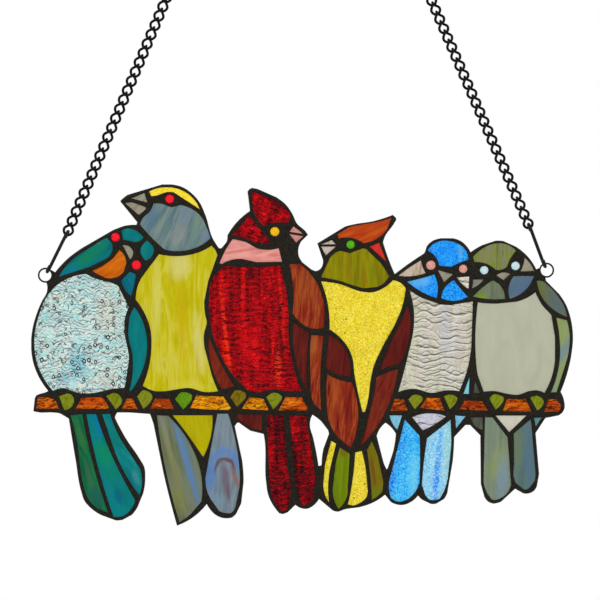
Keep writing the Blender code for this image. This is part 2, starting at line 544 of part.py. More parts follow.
def make_stay_wire(panel):
    """The straight wire soldered across the back, behind the lowest lead of the branch."""
    depth = LEADING_DEPTH / 2 + FIT_GAP + STAY_WIRE / 2
    ends = [on_panel(end) for end in STAY_ENDS]
    path = [Vector((end.x, depth, end.y)) for end in ends]
    curve = open_wire("stay_wire", path, STAY_WIRE, 2)
    add_object("stay_wire", curve, metal("stay_wire", DARK_METAL), panel)


def make_ring(name, ring, panel):
    bpy.ops.mesh.primitive_torus_add(
        major_radius=(RING_DIAMETER - RING_WIRE) / 2, minor_radius=RING_WIRE / 2,
        major_segments=RING_SIDES, minor_segments=WIRE_SIDES)
    mesh = bpy.context.object.data
    bpy.data.objects.remove(bpy.context.object)
    mesh.name = name
    mesh.shade_smooth()
    obj = add_object(name, mesh, metal(name, DARK_METAL), panel)
    centre = on_panel(ring)
    obj.location = (centre.x, 0, centre.y)
    obj.rotation_euler = (math.radians(90), 0, 0)


def hook_path(foot, along, radius):
    """The centre line of an S-hook whose two loops lie HOOK_SPAN apart, across the panel's plane."""
    across = Vector((0, 1, 0))
    tangent = math.acos(2 * radius / HOOK_SPAN)
    steps = round(HOOK_SWEEP / HOOK_STEP)
    loop = [(radius * math.cos(tangent + HOOK_SWEEP * k / steps), radius * math.sin(tangent + HOOK_SWEEP * k / steps))
            for k in range(steps, -1, -1)]
    half = [foot + along * u + across * v for u, v in loop]
    middle = foot + along * HOOK_SPAN / 2
    return half + [2 * middle - point for point in reversed(half)]


def make_hook(name, foot, along, radius, panel):
    path = hook_path(foot, along, radius)
    curve = open_wire(name, path, HOOK_WIRE, 1)
    add_object(name, curve, metal(name, BLACK_METAL), panel)


def bearing(radius, wire):
    """How far a wire lies from the middle of a hook's loop, where it bears on the loop."""
    return radius - HOOK_WIRE / 2 - FIT_GAP - wire / 2


def link_path(height):
    """One curb link of an upright chain, twisted from end to end so that it locks into the next."""
    half_length = (LINK_PITCH + LINK_WIRE * (1 - LINK_SINK)) / 2
    half_width = (LINK_WIDTH - LINK_WIRE) / 2
    path = []
    for u, v in [(-1, -LINK_END), (-1, LINK_END), (0, 1), (1, LINK_END), (1, -LINK_END), (0, -1)]:
        turn = LINK_TWIST * u
        path.append(Vector((math.cos(turn) * half_width * v, math.sin(turn) * half_width * v,
                            height + half_length * u)))
    return path


def link_mesh(name, heights):
    """A mesh of upright links that don't touch one another."""
    curve = bpy.data.curves.new(name, "CURVE")
    curve.dimensions = "3D"
    curve.bevel_depth = LINK_WIRE / 2
    curve.bevel_resolution = 0
    for height in heights:
        add_path(curve, link_path(height), True)
    holder = bpy.data.objects.new(name, curve)
    bpy.context.scene.collection.objects.link(holder)
    mesh = bpy.data.meshes.new_from_object(holder.evaluated_get(bpy.context.evaluated_depsgraph_get()))
    bpy.data.objects.remove(holder)
    return mesh


def make_chain(name, first, lean, panel):
    """A chain of LINK_COUNT links in one piece, whose lowest link has its middle at first."""
    heights = [LINK_PITCH * k for k in range(LINK_COUNT)]
    obj = add_object(name, link_mesh(name, heights[0::2]), metal(name, BLACK_METAL), panel)
    other = bpy.data.objects.new(name + "_links", link_mesh(name + "_links", heights[1::2]))
    other.parent = panel
    other.hide_render = True
    other.display_type = "WIRE"
    bpy.data.collections["cutters"].objects.link(other)
    for half in (obj, other):
        half.location = first
        half.rotation_euler = (0, math.radians(lean), 0)
    union = obj.modifiers.new("links", "BOOLEAN")
    union.operation = "UNION"
    union.solver = "EXACT"
    union.object = other


def hanger_points(ring, hook_lean, chain_lean):
    """Where a hanger's pieces lie: its lower hook, lowest link, top hook and top eye."""
    centre = on_panel(ring)
    along_hook = upright(hook_lean)
    along_chain = upright(chain_lean)
    wire_radius = (RING_DIAMETER - RING_WIRE) / 2
    link_end = (LINK_PITCH + LINK_WIRE * (1 - LINK_SINK)) / 2
    foot = Vector((centre.x, 0, centre.y)) + along_hook * (wire_radius + bearing(RING_HOOK_RADIUS, RING_WIRE))
    knuckle = foot + along_hook * (HOOK_SPAN + bearing(RING_HOOK_RADIUS, LINK_WIRE))
    first = knuckle + along_chain * link_end
    last_end = first + along_chain * (LINK_PITCH * (LINK_COUNT - 1) + link_end)
    top_foot = last_end + along_chain * bearing(TOP_HOOK_RADIUS, LINK_WIRE)
    top_eye = top_foot + along_chain * HOOK_SPAN
    return foot, along_hook, first, along_chain, top_foot, top_eye


def make_hanger(side, points, chain_lean, panel):
    foot, along_hook, first, along_chain, top_foot, _ = points
    make_hook(side + "_ring_hook", foot, along_hook, RING_HOOK_RADIUS, panel)
    make_chain(side + "_chain", first, chain_lean, panel)
    make_hook(side + "_top_hook", top_foot, along_chain, TOP_HOOK_RADIUS, panel)


def main():
    clear_scene()
    for name in ("stained_glass_panel", "cutters"):
        bpy.context.scene.collection.children.link(bpy.data.collections.new(name))
    left = hanger_points(LEFT_RING, LEFT_HOOK_LEAN, LEFT_CHAIN_LEAN)
    right = hanger_points(RIGHT_RING, -RIGHT_HOOK_LEAN, -RIGHT_CHAIN_LEAN)
    panel = bpy.data.objects.new("panel", None)
    panel.location = -(left[-1] + right[-1]) / 2
    bpy.data.collections["stained_glass_panel"].objects.link(panel)
    make_leading(panel)
    make_panes(panel)
    make_stay_wire(panel)
    make_ring("left_ring", LEFT_RING, panel)
    make_ring("right_ring", RIGHT_RING, panel)
    make_hanger("left", left, LEFT_CHAIN_LEAN, panel)
    make_hanger("right", right, -RIGHT_CHAIN_LEAN, panel)


main()
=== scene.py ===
"""Looks of the stained glass panel: rounded leading, textured glass, nugget eyes and curb chains."""
import math
from collections import namedtuple

import bpy
import numpy as np
from mathutils import Matrix, Vector, geometry, kdtree, noise


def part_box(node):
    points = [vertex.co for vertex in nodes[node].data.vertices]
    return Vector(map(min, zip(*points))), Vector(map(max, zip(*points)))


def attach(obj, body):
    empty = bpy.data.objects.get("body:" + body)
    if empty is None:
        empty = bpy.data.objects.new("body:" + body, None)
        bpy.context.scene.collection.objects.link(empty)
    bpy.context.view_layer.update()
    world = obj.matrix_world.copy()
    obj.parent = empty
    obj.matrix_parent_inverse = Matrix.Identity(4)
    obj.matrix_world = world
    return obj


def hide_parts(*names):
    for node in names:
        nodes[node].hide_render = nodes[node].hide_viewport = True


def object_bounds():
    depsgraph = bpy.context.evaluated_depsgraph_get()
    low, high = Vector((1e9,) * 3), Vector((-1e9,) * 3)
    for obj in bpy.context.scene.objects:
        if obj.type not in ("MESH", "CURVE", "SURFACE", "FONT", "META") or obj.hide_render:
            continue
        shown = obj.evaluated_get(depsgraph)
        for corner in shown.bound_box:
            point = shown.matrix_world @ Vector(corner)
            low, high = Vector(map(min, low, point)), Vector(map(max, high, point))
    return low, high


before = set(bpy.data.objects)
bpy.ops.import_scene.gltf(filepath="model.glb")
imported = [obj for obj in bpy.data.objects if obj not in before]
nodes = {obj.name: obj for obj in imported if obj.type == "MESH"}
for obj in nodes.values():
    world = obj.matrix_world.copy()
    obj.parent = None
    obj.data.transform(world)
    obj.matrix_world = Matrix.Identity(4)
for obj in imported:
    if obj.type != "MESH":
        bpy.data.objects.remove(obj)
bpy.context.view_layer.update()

# The photograph's frame of 600 x 600 pixels, and the size of one pixel in metres
UNIT = 0.520 / 541.4
PHOTO_SIZE = 600
PHOTO_MIDDLE = (300.0, 300.0)
LEFT_RING_PIXEL = (45.4, 275.2)

# Sizes of the glass and the leading, in metres
GLASS_HALF = 0.0015
GLASS_TUCK = 0.0003
GLASS_DIP = 0.0001
GLASS_SWELL = 0.00009
GLASS_MARGIN = 0.001
GLASS_FILL_STEP = 0.0032
GLASS_FILL_GAP = 0.0012
LEAD_HALF = 0.00245
LEAD_THINNEST = 0.0004
LEAD_SPREAD = 0.00015
LEAD_LIP = 0.0001
LEAD_SWAY = 0.00016
LEAD_SWAY_REACH = 0.001
LEAD_FILL_STEP = 0.0013
LEAD_FILL_GAP = 0.0024
LEAD_ROW_GAP = 0.0007
BEAD_RADIUS = 0.0019
RIM_RADIUS = 0.0022
RIM_HALF = 0.0007
CHORD_SAG = 0.0005
EDGE_STEP = 0.0010
CORNER_TURN = math.radians(33)
ROW_RISE = 0.866

# Rows of points beside the lead's edges: their distance, and how much of it they keep from other edges
LEAD_ROWS = ((0.00045, 0.8), (0.00105, 0.85), (0.0018, 0.9))

# An eye's nugget: shares of its radius with the front's rise or the back's depth
EYE_SIDES = 40
EYE_SEAT = 0.0004
EYE_RISE = 0.0020
EYE_FRONT = 0.0024
EYE_FRONT_RINGS = ((0.22, 0.985), (0.42, 0.93), (0.6, 0.83), (0.75, 0.69), (0.87, 0.51), (0.95, 0.32),
                   (1.0, 0.0))
EYE_BACK_RINGS = ((1.0, 0.0008), (0.93, 0.0015), (0.55, 0.0017))
EYE_BACK = 0.0018

# Sizes of the rings, hooks and chains, in metres
RING_DIAMETER = 0.0146
RING_WIRE = 0.0017
RING_POINTS = 72
RING_SIDES = 14
SEAT_MARGIN = 0.0006
SOLDER_STEPS = 24
SOLDER_THINNEST = 0.0004
SOLDER_SWELL = 0.0008
RING_HOOK_WIRE = 0.0033
RING_HOOK_SPAN = 0.0346
RING_HOOK_RADIUS = 0.0045
TOP_HOOK_WIRE = 0.0028
TOP_HOOK_SPAN = 0.0348
TOP_HOOK_RADIUS = 0.00625
HOOK_SWEEP = math.radians(225)
HOOK_STEPS = 30
HOOK_SIDES = 16
LINK_WIRE = 0.0026
LINK_PITCH = 0.00972
LINK_WIDTH = 0.0118
LINK_COUNT = 26
LINK_POINTS = 40
LINK_SIDES = 12
LINK_TWIST_START = 0.65

# Finish, stage and camera
GLASS_IOR = 1.2
GLASS_SPECULAR = 0.25
METAL_SPECULAR = 0.09
FLOOR_SIZE = 11.0
FLOOR_DROP = 0.60
FLOOR_TONE = (0.92, 0.92, 0.92, 1)
LIGHTS = {"key": ((-0.9, -1.3, 0.7), 0.25, 6), "fill": ((1.1, -1.2, 0.2), 0.3, 3)}
CAMERA_DISTANCE = 3.0
SENSOR = 36.0


def box_middle(node):
    low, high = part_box(node)
    return (low + high) / 2


ring_place = box_middle("left_ring")
PHOTO_X = ring_place.x - (LEFT_RING_PIXEL[0] - PHOTO_MIDDLE[0]) * UNIT
PHOTO_Z = ring_place.z - (PHOTO_MIDDLE[1] - LEFT_RING_PIXEL[1]) * UNIT


def on_panel(px, py):
    """A pixel of the photograph as panel x and z."""
    return (PHOTO_X + (px - PHOTO_MIDDLE[0]) * UNIT, PHOTO_Z + (PHOTO_MIDDLE[1] - py) * UNIT)


# Outlines of the leading, read from its solid and smoothed between their corners

def front_loops(node):
    """The closed boundary lines of a flat node's front face, as lists of x and z."""
    mesh = nodes[node].data
    places = [vertex.co for vertex in mesh.vertices]
    front = min(place.y for place in places)
    ahead = {}
    spot = {}
    edges = set()
    for face in mesh.polygons:
        if all(places[i].y < front + 1e-5 for i in face.vertices):
            keys = []
            for i in face.vertices:
                key = (round(places[i].x * 1e6), round(places[i].z * 1e6))
                spot[key] = (places[i].x, places[i].z)
                keys.append(key)
            for a, b in zip(keys, keys[1:] + keys[:1]):
                edges.add((a, b))
    for a, b in edges:
        if (b, a) not in edges:
            ahead[a] = b
    loops = []
    while ahead:
        key = next(iter(ahead))
        loop = []
        while key in ahead:
            loop.append(spot[key])
            key = ahead.pop(key)
        loops.append(np.array(loop))
    return loops


def smooth_span(points, step):
    """A smooth line through points, at even steps, without its last point."""
    spans = np.linalg.norm(np.diff(points, axis=0), axis=1)
    if len(points) == 2:
        tangents = [(points[1] - points[0]) / spans[0]] * 2
    else:
        slopes = np.diff(points, axis=0) / spans[:, None]
        tangents = [(spans[i] * slopes[i + 1] + spans[i + 1] * slopes[i]) / (spans[i] + spans[i + 1])
                    for i in range(len(spans) - 1)]
        tangents = [2 * slopes[0] - tangents[0]] + tangents + [2 * slopes[-1] - tangents[-1]]
    line = []
    for i, span in enumerate(spans):
        start, end = tangents[i], tangents[i + 1]
        bulge = span / 8 * np.linalg.norm(start - end)
        if bulge > CHORD_SAG:
            start = end = (points[i + 1] - points[i]) / span
        count = max(1, round(span / step))
        for k in range(count):
            t = k / count
            line.append((1 + 2 * t) * (1 - t) ** 2 * points[i] + t * (1 - t) ** 2 * span * start
                        + t * t * (3 - 2 * t) * points[i + 1] - t * t * (1 - t) * span * end)
    return line


def smooth_loop(loop, step):
    """The loop with its faceted curves smoothed and its corners kept."""
    into = loop - np.roll(loop, 1, axis=0)
    out_of = np.roll(loop, -1, axis=0) - loop
    cross = into[:, 0] * out_of[:, 1] - into[:, 1] * out_of[:, 0]
    turn = np.abs(np.arctan2(cross, (into * out_of).sum(1)))
    corners = [i for i in range(len(loop)) if turn[i] > CORNER_TURN]
    if not corners:
        wrapped = np.vstack([loop[-2:], loop, loop[:3]])
        line = smooth_span(wrapped, step)
        first, last = (min(range(len(line)), key=lambda k: np.linalg.norm(line[k] - wrapped[j]))
                       for j in (2, len(loop) + 2))
        return np.array(line[first:last])
    line = []
    for first, last in zip(corners, corners[1:] + [corners[0] + len(loop)]):
        points = np.array([loop[i % len(loop)] for i in range(first, last + 1)])
        line += smooth_span(points, step)
    return np.array(line)


def area_of(loop):
    x, z = loop[:, 0], loop[:, 1]
    return 0.5 * float(np.sum(x * np.roll(z, -1) - np.roll(x, -1) * z))


def inside(loop, x, z):
    """Whether each point lies in the loop."""
    x = np.atleast_1d(x)
    z = np.atleast_1d(z)
    result = np.zeros(len(x), bool)
    xa, za = loop[:, 0], loop[:, 1]
    xb, zb = np.roll(xa, -1), np.roll(za, -1)
    for i in range(len(loop)):
        crossing = (za[i] > z) != (zb[i] > z)
        if crossing.any():
            at = (xb[i] - xa[i]) * (z - za[i]) / (zb[i] - za[i] + 1e-15) + xa[i]
            result ^= crossing & (x < at)
    return result


loops = sorted(front_loops("leading"), key=lambda loop: -abs(area_of(loop)))
edge_loop = np.clip(smooth_loop(loops[0], EDGE_STEP), loops[0].min(axis=0), loops[0].max(axis=0))
hole_loops = [smooth_loop(loop, EDGE_STEP) for loop in loops[1:]]

# Which glass goes where. Panes that are solids in the CAD go by their node
BIRD_GLASS = {
    "teal": {"back": "teal_back", "cheek": "amber_cheek", "belly": "seedy", "wing": "teal",
             "tail_left": "green_tail", "tail_middle": "teal_tail", "tail_right": "teal_tail_right"},
    "yellow": {"head": "slate", "body": "yellow_body", "tail_left": "olive_tail", "tail_middle": "mustard",
               "tail_right": "opal_tail"},
    "red": {"crest": "ruby", "cheek": "ruby", "collar": "pink", "belly": "ruby_breast",
            "wing_left": "rust_dark", "wing_upper": "rust", "wing_inner": "maroon", "wing_middle": "rust",
            "coverts": "maroon", "tail_left": "ruby_tail", "tail_right": "ruby_tail"},
    "crested": {"crest": "flame", "cheek": "olive", "breast": "yellow_granite", "wing_left_upper": "maroon",
                "wing_left_lower": "rust", "wing_right_upper": "maroon", "wing_right_lower": "rust_dark",
                "tail_1": "yellow_granite", "tail_2": "green_feather", "tail_3": "yellow_granite",
                "tail_4": "olive_feather"},
    "blue": {"crown": "blue_granite", "cheek_left": "blue_granite", "cheek_right": "blue_granite",
             "belly": "pearl", "tail_left": "blue_feather", "covert_middle": "lilac",
             "tail_right": "sky_feather"},
    "olive": {"crown": "moss", "cheek_left": "moss_throat", "cheek_right": "dusk", "belly": "milk",
              "wing_upper": "wing_upper", "wing_lower": "wing_lower", "tail_left": "sage",
              "covert_middle": "cream", "tail_right": "dusk_tail"},
}
NODE_GLASS = {"%s_bird_%s" % (bird, pane): kind for bird, panes in BIRD_GLASS.items()
              for pane, kind in panes.items()}

# The other panes go by a pixel of the photograph that lies in their opening
SMALL_GLASS = {
    "teal_bird_crown": (131, 235, "teal"), "teal_bird_beak": (129, 251, "grey_beak"),
    "teal_bird_nape": (147, 250, "teal"), "teal_bird_throat": (129, 283, "teal_blue"),
    "yellow_bird_beak_upper": (142, 198, "grey_beak"), "yellow_bird_beak_lower": (137, 208, "grey_beak"),
    "yellow_bird_brow": (175, 191, "bright_yellow"),
    "red_bird_beak_upper": (295, 230.5, "pink_beak"),
    "red_bird_beak_lower": (295.5, 237.5, "pink_beak"),
    "crested_bird_beak_upper": (330, 242.6, "tan_beak"), "crested_bird_beak_lower": (328, 249.5, "tan_beak"),
    "crested_bird_tuft": (379, 250, "bright_red"),
    "blue_bird_beak_left": (415, 270, "tan_beak"), "blue_bird_chin": (445, 275.5, "grey_beak"),
    "blue_bird_beak_right": (465, 281, "pearl"), "blue_bird_flank": (467.5, 388, "cyan"),
    "blue_bird_covert_left": (396, 421, "sky"), "blue_bird_covert_right": (459, 420, "sky"),
    "olive_bird_nape": (528, 267, "grey_beak"), "olive_bird_beak": (503.5, 276, "grey_beak"),
    "olive_bird_chin": (476, 282.5, "grey"), "olive_bird_flank": (475.5, 390, "smoke"),
    "olive_bird_covert_left": (478, 422.5, "smoke"), "olive_bird_covert_right": (537, 421, "sea"),
}
BARK = [(46, 403, "bark"), (92, 403, "bark"), (129.5, 405, "bark"), (162, 404, "bark_red"),
        (210, 403, "bark_yellow"), (256, 404, "bark_yellow"), (293, 404, "bark"), (399, 405, "bark_red"),
        (432.5, 404, "bark"), (473, 405, "bark_red"), (516.5, 405, "bark"), (552.5, 406, "bark_red")]
FEET = [(66, 402, "foot"), (115, 400, "foot"), (144.5, 398, "foot"), (182.5, 400, "foot_green"),
        (237.5, 397, "foot_brown"), (274, 399, "foot"), (415, 401, "foot"), (450, 401, "foot"),
        (495.5, 401, "foot"), (537.5, 402, "foot")]
EYES = {
    "eye_teal_upper": (115.5, 237.2, "eye_red"), "eye_teal_lower": (136.5, 265, "eye_red"),
    "eye_yellow": (169.8, 199, "eye_red"), "eye_red": (274.8, 231.6, "eye_amber"),
    "eye_crested": (350.6, 244.6, "eye_green"), "eye_blue_left": (430.8, 265.2, "eye_pink"),
    "eye_blue_right": (463.1, 268.8, "eye_pink"), "eye_olive_left": (484.1, 270.2, "eye_pale"),
    "eye_olive_right": (515.4, 265.9, "eye_pale"),
}
SMALL_GLASS.update({"bark_%d" % number: spot for number, spot in enumerate(BARK, 1)})
SMALL_GLASS.update({"foot_%d" % number: spot for number, spot in enumerate(FEET, 1)})
SMALL_GLASS.update(EYES)

# The see-through gaps between tails, by a pixel each
TAIL_GAPS = [(320, 436), (386, 444)]


def hole_at(x, z):
    for index, loop in enumerate(hole_loops):
        if inside(loop, x, z)[0]:
            return index
    raise ValueError("no opening at (%.4f, %.4f)" % (x, z))


hole_names = {}
hole_glass = {}
for node_name, kind in NODE_GLASS.items():
    co = np.array([vertex.co[:] for vertex in nodes[node_name].data.vertices])
    front = co[co[:, 1] < 0]
    distances = [np.abs(loop[None, :, :] - front[:3, None, ::2]).sum(2).min(1).max() for loop in hole_loops]
    index = int(np.argmin(distances))
    hole_names[index] = node_name
    hole_glass[index] = kind
for piece_name, (px, py, kind) in SMALL_GLASS.items():
    index = hole_at(*on_panel(px, py))
    if index in hole_names:
        raise ValueError("%s lies in %s" % (piece_name, hole_names[index]))
    hole_names[index] = piece_name
    hole_glass[index] = kind
gap_holes = [hole_at(*on_panel(px, py)) for px, py in TAIL_GAPS]
unnamed = [i for i in range(len(hole_loops)) if i not in hole_names and i not in gap_holes]
if unnamed:
    raise ValueError("openings with no glass: %s" % [tuple(hole_loops[i].mean(axis=0)) for i in unnamed])


# Meshes

def tree_of(points):
    tree = kdtree.KDTree(len(points))
    for i, (x, z) in enumerate(points):
        tree.insert((x, z, 0), i)
    tree.balance()
    return tree


def gap_to(tree, x, z):
    return tree.find((x, z, 0))[2]


def dense(loop):
    """The loop's points with three more between each two, for measuring distances."""
    ahead = np.roll(loop, -1, axis=0)
    return np.vstack([loop + (ahead - loop) * f for f in (0, 0.25, 0.5, 0.75)])


def offset_row(loop, distance):
    """Points at a distance to the right of the loop's edges."""
    ahead = np.roll(loop, -1, axis=0)
    along = ahead - loop
    length = np.linalg.norm(along, axis=1)[:, None]
    normal = np.stack([along[:, 1], -along[:, 0]], axis=1) / np.maximum(length, 1e-9)
    return (loop + ahead) / 2 + normal * distance


def moved_in(loop, distance):
    """The loop with its points moved inward by the distance, or outward where that is negative."""
    turned = loop if area_of(loop) > 0 else loop[::-1]
    along = np.roll(turned, -1, axis=0) - np.roll(turned, 1, axis=0)
    normal = np.stack([-along[:, 1], along[:, 0]], axis=1)
    return turned + normal / np.maximum(np.linalg.norm(normal, axis=1), 1e-9)[:, None] * distance


def triangles_within(outlines, extra):
    """Triangles of the area inside the first outline and outside the others, with extra points in it."""
    points = []
    edges = []
    for outline in outlines:
        start = len(points)
        points += [Vector(p) for p in outline]
        edges += [(start + k, start + (k + 1) % len(outline)) for k in range(len(outline))]
    points += [Vector(p) for p in extra]
    flat, links, faces, _, made_from, _ = geometry.delaunay_2d_cdt(points, edges, [], 0, 1e-8)
    walls = {tuple(sorted(link)) for link, source in zip(links, made_from) if source}
    beside = {}
    for index, face in enumerate(faces):
        for a, b in zip(face, face[1:] + face[:1]):
            beside.setdefault(tuple(sorted((a, b))), []).append(index)
    label = [-1] * len(faces)
    regions = []
    for start in range(len(faces)):
        if label[start] >= 0:
            continue
        label[start] = len(regions)
        stack = [start]
        members = []
        while stack:
            index = stack.pop()
            members.append(index)
            face = faces[index]
            for a, b in zip(face, face[1:] + face[:1]):
                link = tuple(sorted((a, b)))
                if link in walls:
                    continue
                for other in beside[link]:
                    if label[other] < 0:
                        label[other] = label[start]
                        stack.append(other)
        regions.append(members)
    kept = []
    for members in regions:
        some = [faces[i] for i in members[:40]]
        face = max(some, key=lambda f: abs(geometry.area_tri(*(flat[i] for i in f[:3]))))
        middle = sum((flat[i] for i in face), Vector((0, 0))) / 3
        if inside(outlines[0], middle.x, middle.y)[0] and not any(
                inside(outline, middle.x, middle.y)[0] for outline in outlines[1:]):
            kept += [faces[i] for i in members]
    return flat, kept


def staggered(low, high, step, within):
    """Points in staggered rows over a rectangle, where within(line, height) is true."""
    xs = np.arange(low[0], high[0], step)
    for row, z in enumerate(np.arange(low[1], high[1], step * ROW_RISE)):
        line = xs + (row % 2) * step / 2
        for x in line[within(line, z)]:
            yield x, z


def slab(name, flat, faces, heights):
    """A closed mesh whose front and back stand off the middle plane by the heights."""
    used = sorted({i for face in faces for i in face})
    front = {i: k for k, i in enumerate(used)}
    count = len(used)
    verts = [(flat[i].x, -heights[i], flat[i].y) for i in used]
    verts += [(flat[i].x, heights[i], flat[i].y) for i in used]
    polys = []
    directed = set()
    for face in faces:
        a, b, c = (front[i] for i in face)
        polys.append((a, b, c))
        polys.append((c + count, b + count, a + count))
        directed.update(((a, b), (b, c), (c, a)))
    rim = [(a, b) for a, b in directed if (b, a) not in directed]
    polys += [(b, a, a + count, b + count) for a, b in rim]
    mesh = bpy.data.meshes.new(name)
    mesh.from_pydata(verts, [], polys)
    mesh.shade_smooth()
    mesh.validate()
    return mesh, rim, count


def sharpen(mesh, rim, count):
    """Keeps the edges sharp where a slab's faces meet its rim."""
    sharp = {tuple(sorted(pair)) for pair in rim}
    sharp |= {tuple(sorted((a + count, b + count))) for a, b in rim}
    for edge in mesh.edges:
        if tuple(sorted(edge.vertices)) in sharp:
            edge.use_edge_sharp = True


def add_piece(name, mesh, material, replaced=()):
    """A piece of the panel with its finish, riding on the panel."""
    obj = bpy.data.objects.new(name, mesh)
    bpy.context.scene.collection.objects.link(obj)
    mesh.materials.append(material)
    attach(obj, "root")
    if replaced:
        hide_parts(*replaced)
    return obj


# Materials

def linear(colour):
    """A colour of 0 to 255 as the shader's linear values."""
    return tuple(c / 255 / 12.92 if c <= 10 else ((c / 255 + 0.055) / 1.055) ** 2.4 for c in colour) + (1,)


# A patch of another colour in a glass: its middle as a pixel of the photograph, its half width and half
# height in pixels, its colour of 0 to 255, its lean to the right of upright in degrees, and its strength
Cloud = namedtuple("Cloud", "pixel size tone lean share", defaults=(0, 0.8))


class Nodes:
    """Adds shader nodes to one material."""

    def __init__(self, name):
        self.material = bpy.data.materials.new(name)
        self.material.use_nodes = True
        self.tree = self.material.node_tree
        self.shader = self.tree.nodes["Principled BSDF"]

    def node(self, kind, settings=(), **inputs):
        made = self.tree.nodes.new(kind)
        for key, value in settings:
            setattr(made, key, value)
        for key, value in inputs.items():
            self.feed(made.inputs[key.replace("_", " ")], value)
        return made

    def feed(self, socket, value):
        if isinstance(value, bpy.types.NodeSocket):
            self.tree.links.new(value, socket)
        else:
            socket.default_value = value

    def place(self, lean=0, stretch=1, shift=(0, 0, 0), wide=1):
        """Panel coordinates, stretched along a line that leans to the right of upright by some degrees."""
        where = self.node("ShaderNodeTexCoord").outputs["Object"]
        made = self.node("ShaderNodeMapping", [("vector_type", "TEXTURE")], Vector=where, Location=shift,
                         Rotation=(0, math.radians(lean), 0), Scale=(wide, 1, stretch))
        return made.outputs["Vector"]

    def noise(self, where, scale, detail=3, rough=0.55, swirl=0.0):
        return self.node("ShaderNodeTexNoise", Vector=where, Scale=scale, Detail=detail, Roughness=rough,
                         Distortion=swirl).outputs["Fac"]

    def grain(self, lean=0, stretch=1, scale=100, detail=3, swirl=0.5, shift=(0, 0, 0)):
        """Noise drawn out along a line, spread over 0 to 1."""
        return self.band(self.noise(self.place(lean, stretch, shift), scale, detail, 0.6, swirl), 0.33, 0.67)

    def tones(self, fac, colours):
        """Colours spaced evenly along a factor."""
        made = self.node("ShaderNodeValToRGB", Fac=fac)
        ramp = made.color_ramp
        ramp.elements[0].color = linear(colours[0])
        ramp.elements[1].color = linear(colours[-1])
        for i, colour in enumerate(colours[1:-1], 1):
            ramp.elements.new(i / (len(colours) - 1)).color = linear(colour)
        return made.outputs["Color"]

    def blend(self, fac, a, b):
        made = self.node("ShaderNodeMix", [("data_type", "RGBA")])
        self.feed(made.inputs["Factor"], fac)
        self.feed(made.inputs[6], a)
        self.feed(made.inputs[7], b)
        return made.outputs[2]

    def maths(self, operation, a, b=0.0):
        made = self.node("ShaderNodeMath", [("operation", operation)])
        self.feed(made.inputs[0], a)
        self.feed(made.inputs[1], b)
        return made.outputs[0]

    def band(self, fac, low, high):
        """0 below low, 1 above high."""
        made = self.node("ShaderNodeMapRange", Value=fac)
        self.feed(made.inputs["From Min"], low)
        self.feed(made.inputs["From Max"], high)
        return made.outputs["Result"]

    def share(self, fac, amount):
        return self.maths("MULTIPLY", fac, amount)

    def cloud(self, cloud):
        """1 in a ragged patch of the panel around a pixel of the photograph, 0 away from it."""
        x, z = on_panel(*cloud.pixel)
        local = self.place(cloud.lean, cloud.size[1] * UNIT, (x, 0, z), cloud.size[0] * UNIT)
        reach = self.reach(local)
        ragged = self.maths("ADD", reach, self.noise(self.place(cloud.lean, 3), 160, 3, 0.6, 0.6))
        return self.share(self.maths("SUBTRACT", 1.0, self.band(ragged, 0.95, 1.65)), cloud.share)

    def clouded(self, colour, clouds):
        for cloud in clouds:
            colour = self.blend(self.cloud(cloud), colour, linear(cloud.tone))
        return colour

    def paint(self, colour, mask, amount, tone):
        """The colour with another one laid over it where the mask is 1."""
        return self.blend(self.share(mask, amount), colour, linear(tone))

    def sum_of(self, *parts):
        """The sum of some factors, each times its amount."""
        total = self.share(*parts[0])
        for fac, amount in parts[1:]:
            total = self.maths("ADD", total, self.share(fac, amount))
        return total

    def away(self, fac, level):
        """How far a factor is from a level, either way."""
        return self.maths("ABSOLUTE", self.maths("SUBTRACT", fac, level))

    def reach(self, local):
        """The distance of a place from its origin."""
        return self.node("ShaderNodeVectorMath", [("operation", "LENGTH")], Vector=local).outputs["Value"]

    def arch(self, pixel, size, width):
        """1 along the upper part of an oval line around a pixel of the photograph."""
        x, z = on_panel(*pixel)
        local = self.place(0, size[1] * UNIT, (x, 0, z), size[0] * UNIT)
        ragged = self.maths("ADD", self.reach(local), self.share(self.noise(self.place(), 220, 3), 0.5))
        line = self.band(self.away(ragged, 1.25), width, 0.0)
        height = self.node("ShaderNodeSeparateXYZ", Vector=local).outputs["Z"]
        return self.maths("MULTIPLY", line, self.band(height, -0.4, 0.4))

    def waves(self, spacing, wander, scale, width, shift, tall=2.2):
        """Masks for thin wandering dark lines across the glass and for the painted highlight lines above
        them.
        """
        height = self.node("ShaderNodeSeparateXYZ", Vector=self.place(0, spacing * UNIT)).outputs["Z"]
        swing = self.noise(self.place(0, tall, (shift, 0, 0)), scale, 1, 0.5, 0.0)
        level = self.maths("ADD", height, self.share(swing, wander))
        swell = self.noise(self.place(90, 2, (0, 0, shift)), scale * 1.6, 2)
        thick = self.share(self.band(swell, 0.4, 0.56), width)
        masks = []
        # the first mask draws the dark line, the second the painted highlight line just above it
        for lift in (0.5, 0.28):
            part = self.maths("FRACT", self.maths("SUBTRACT", level, lift - 0.5))
            masks.append(self.band(self.away(part, 0.5), thick, 0.0))
        return masks

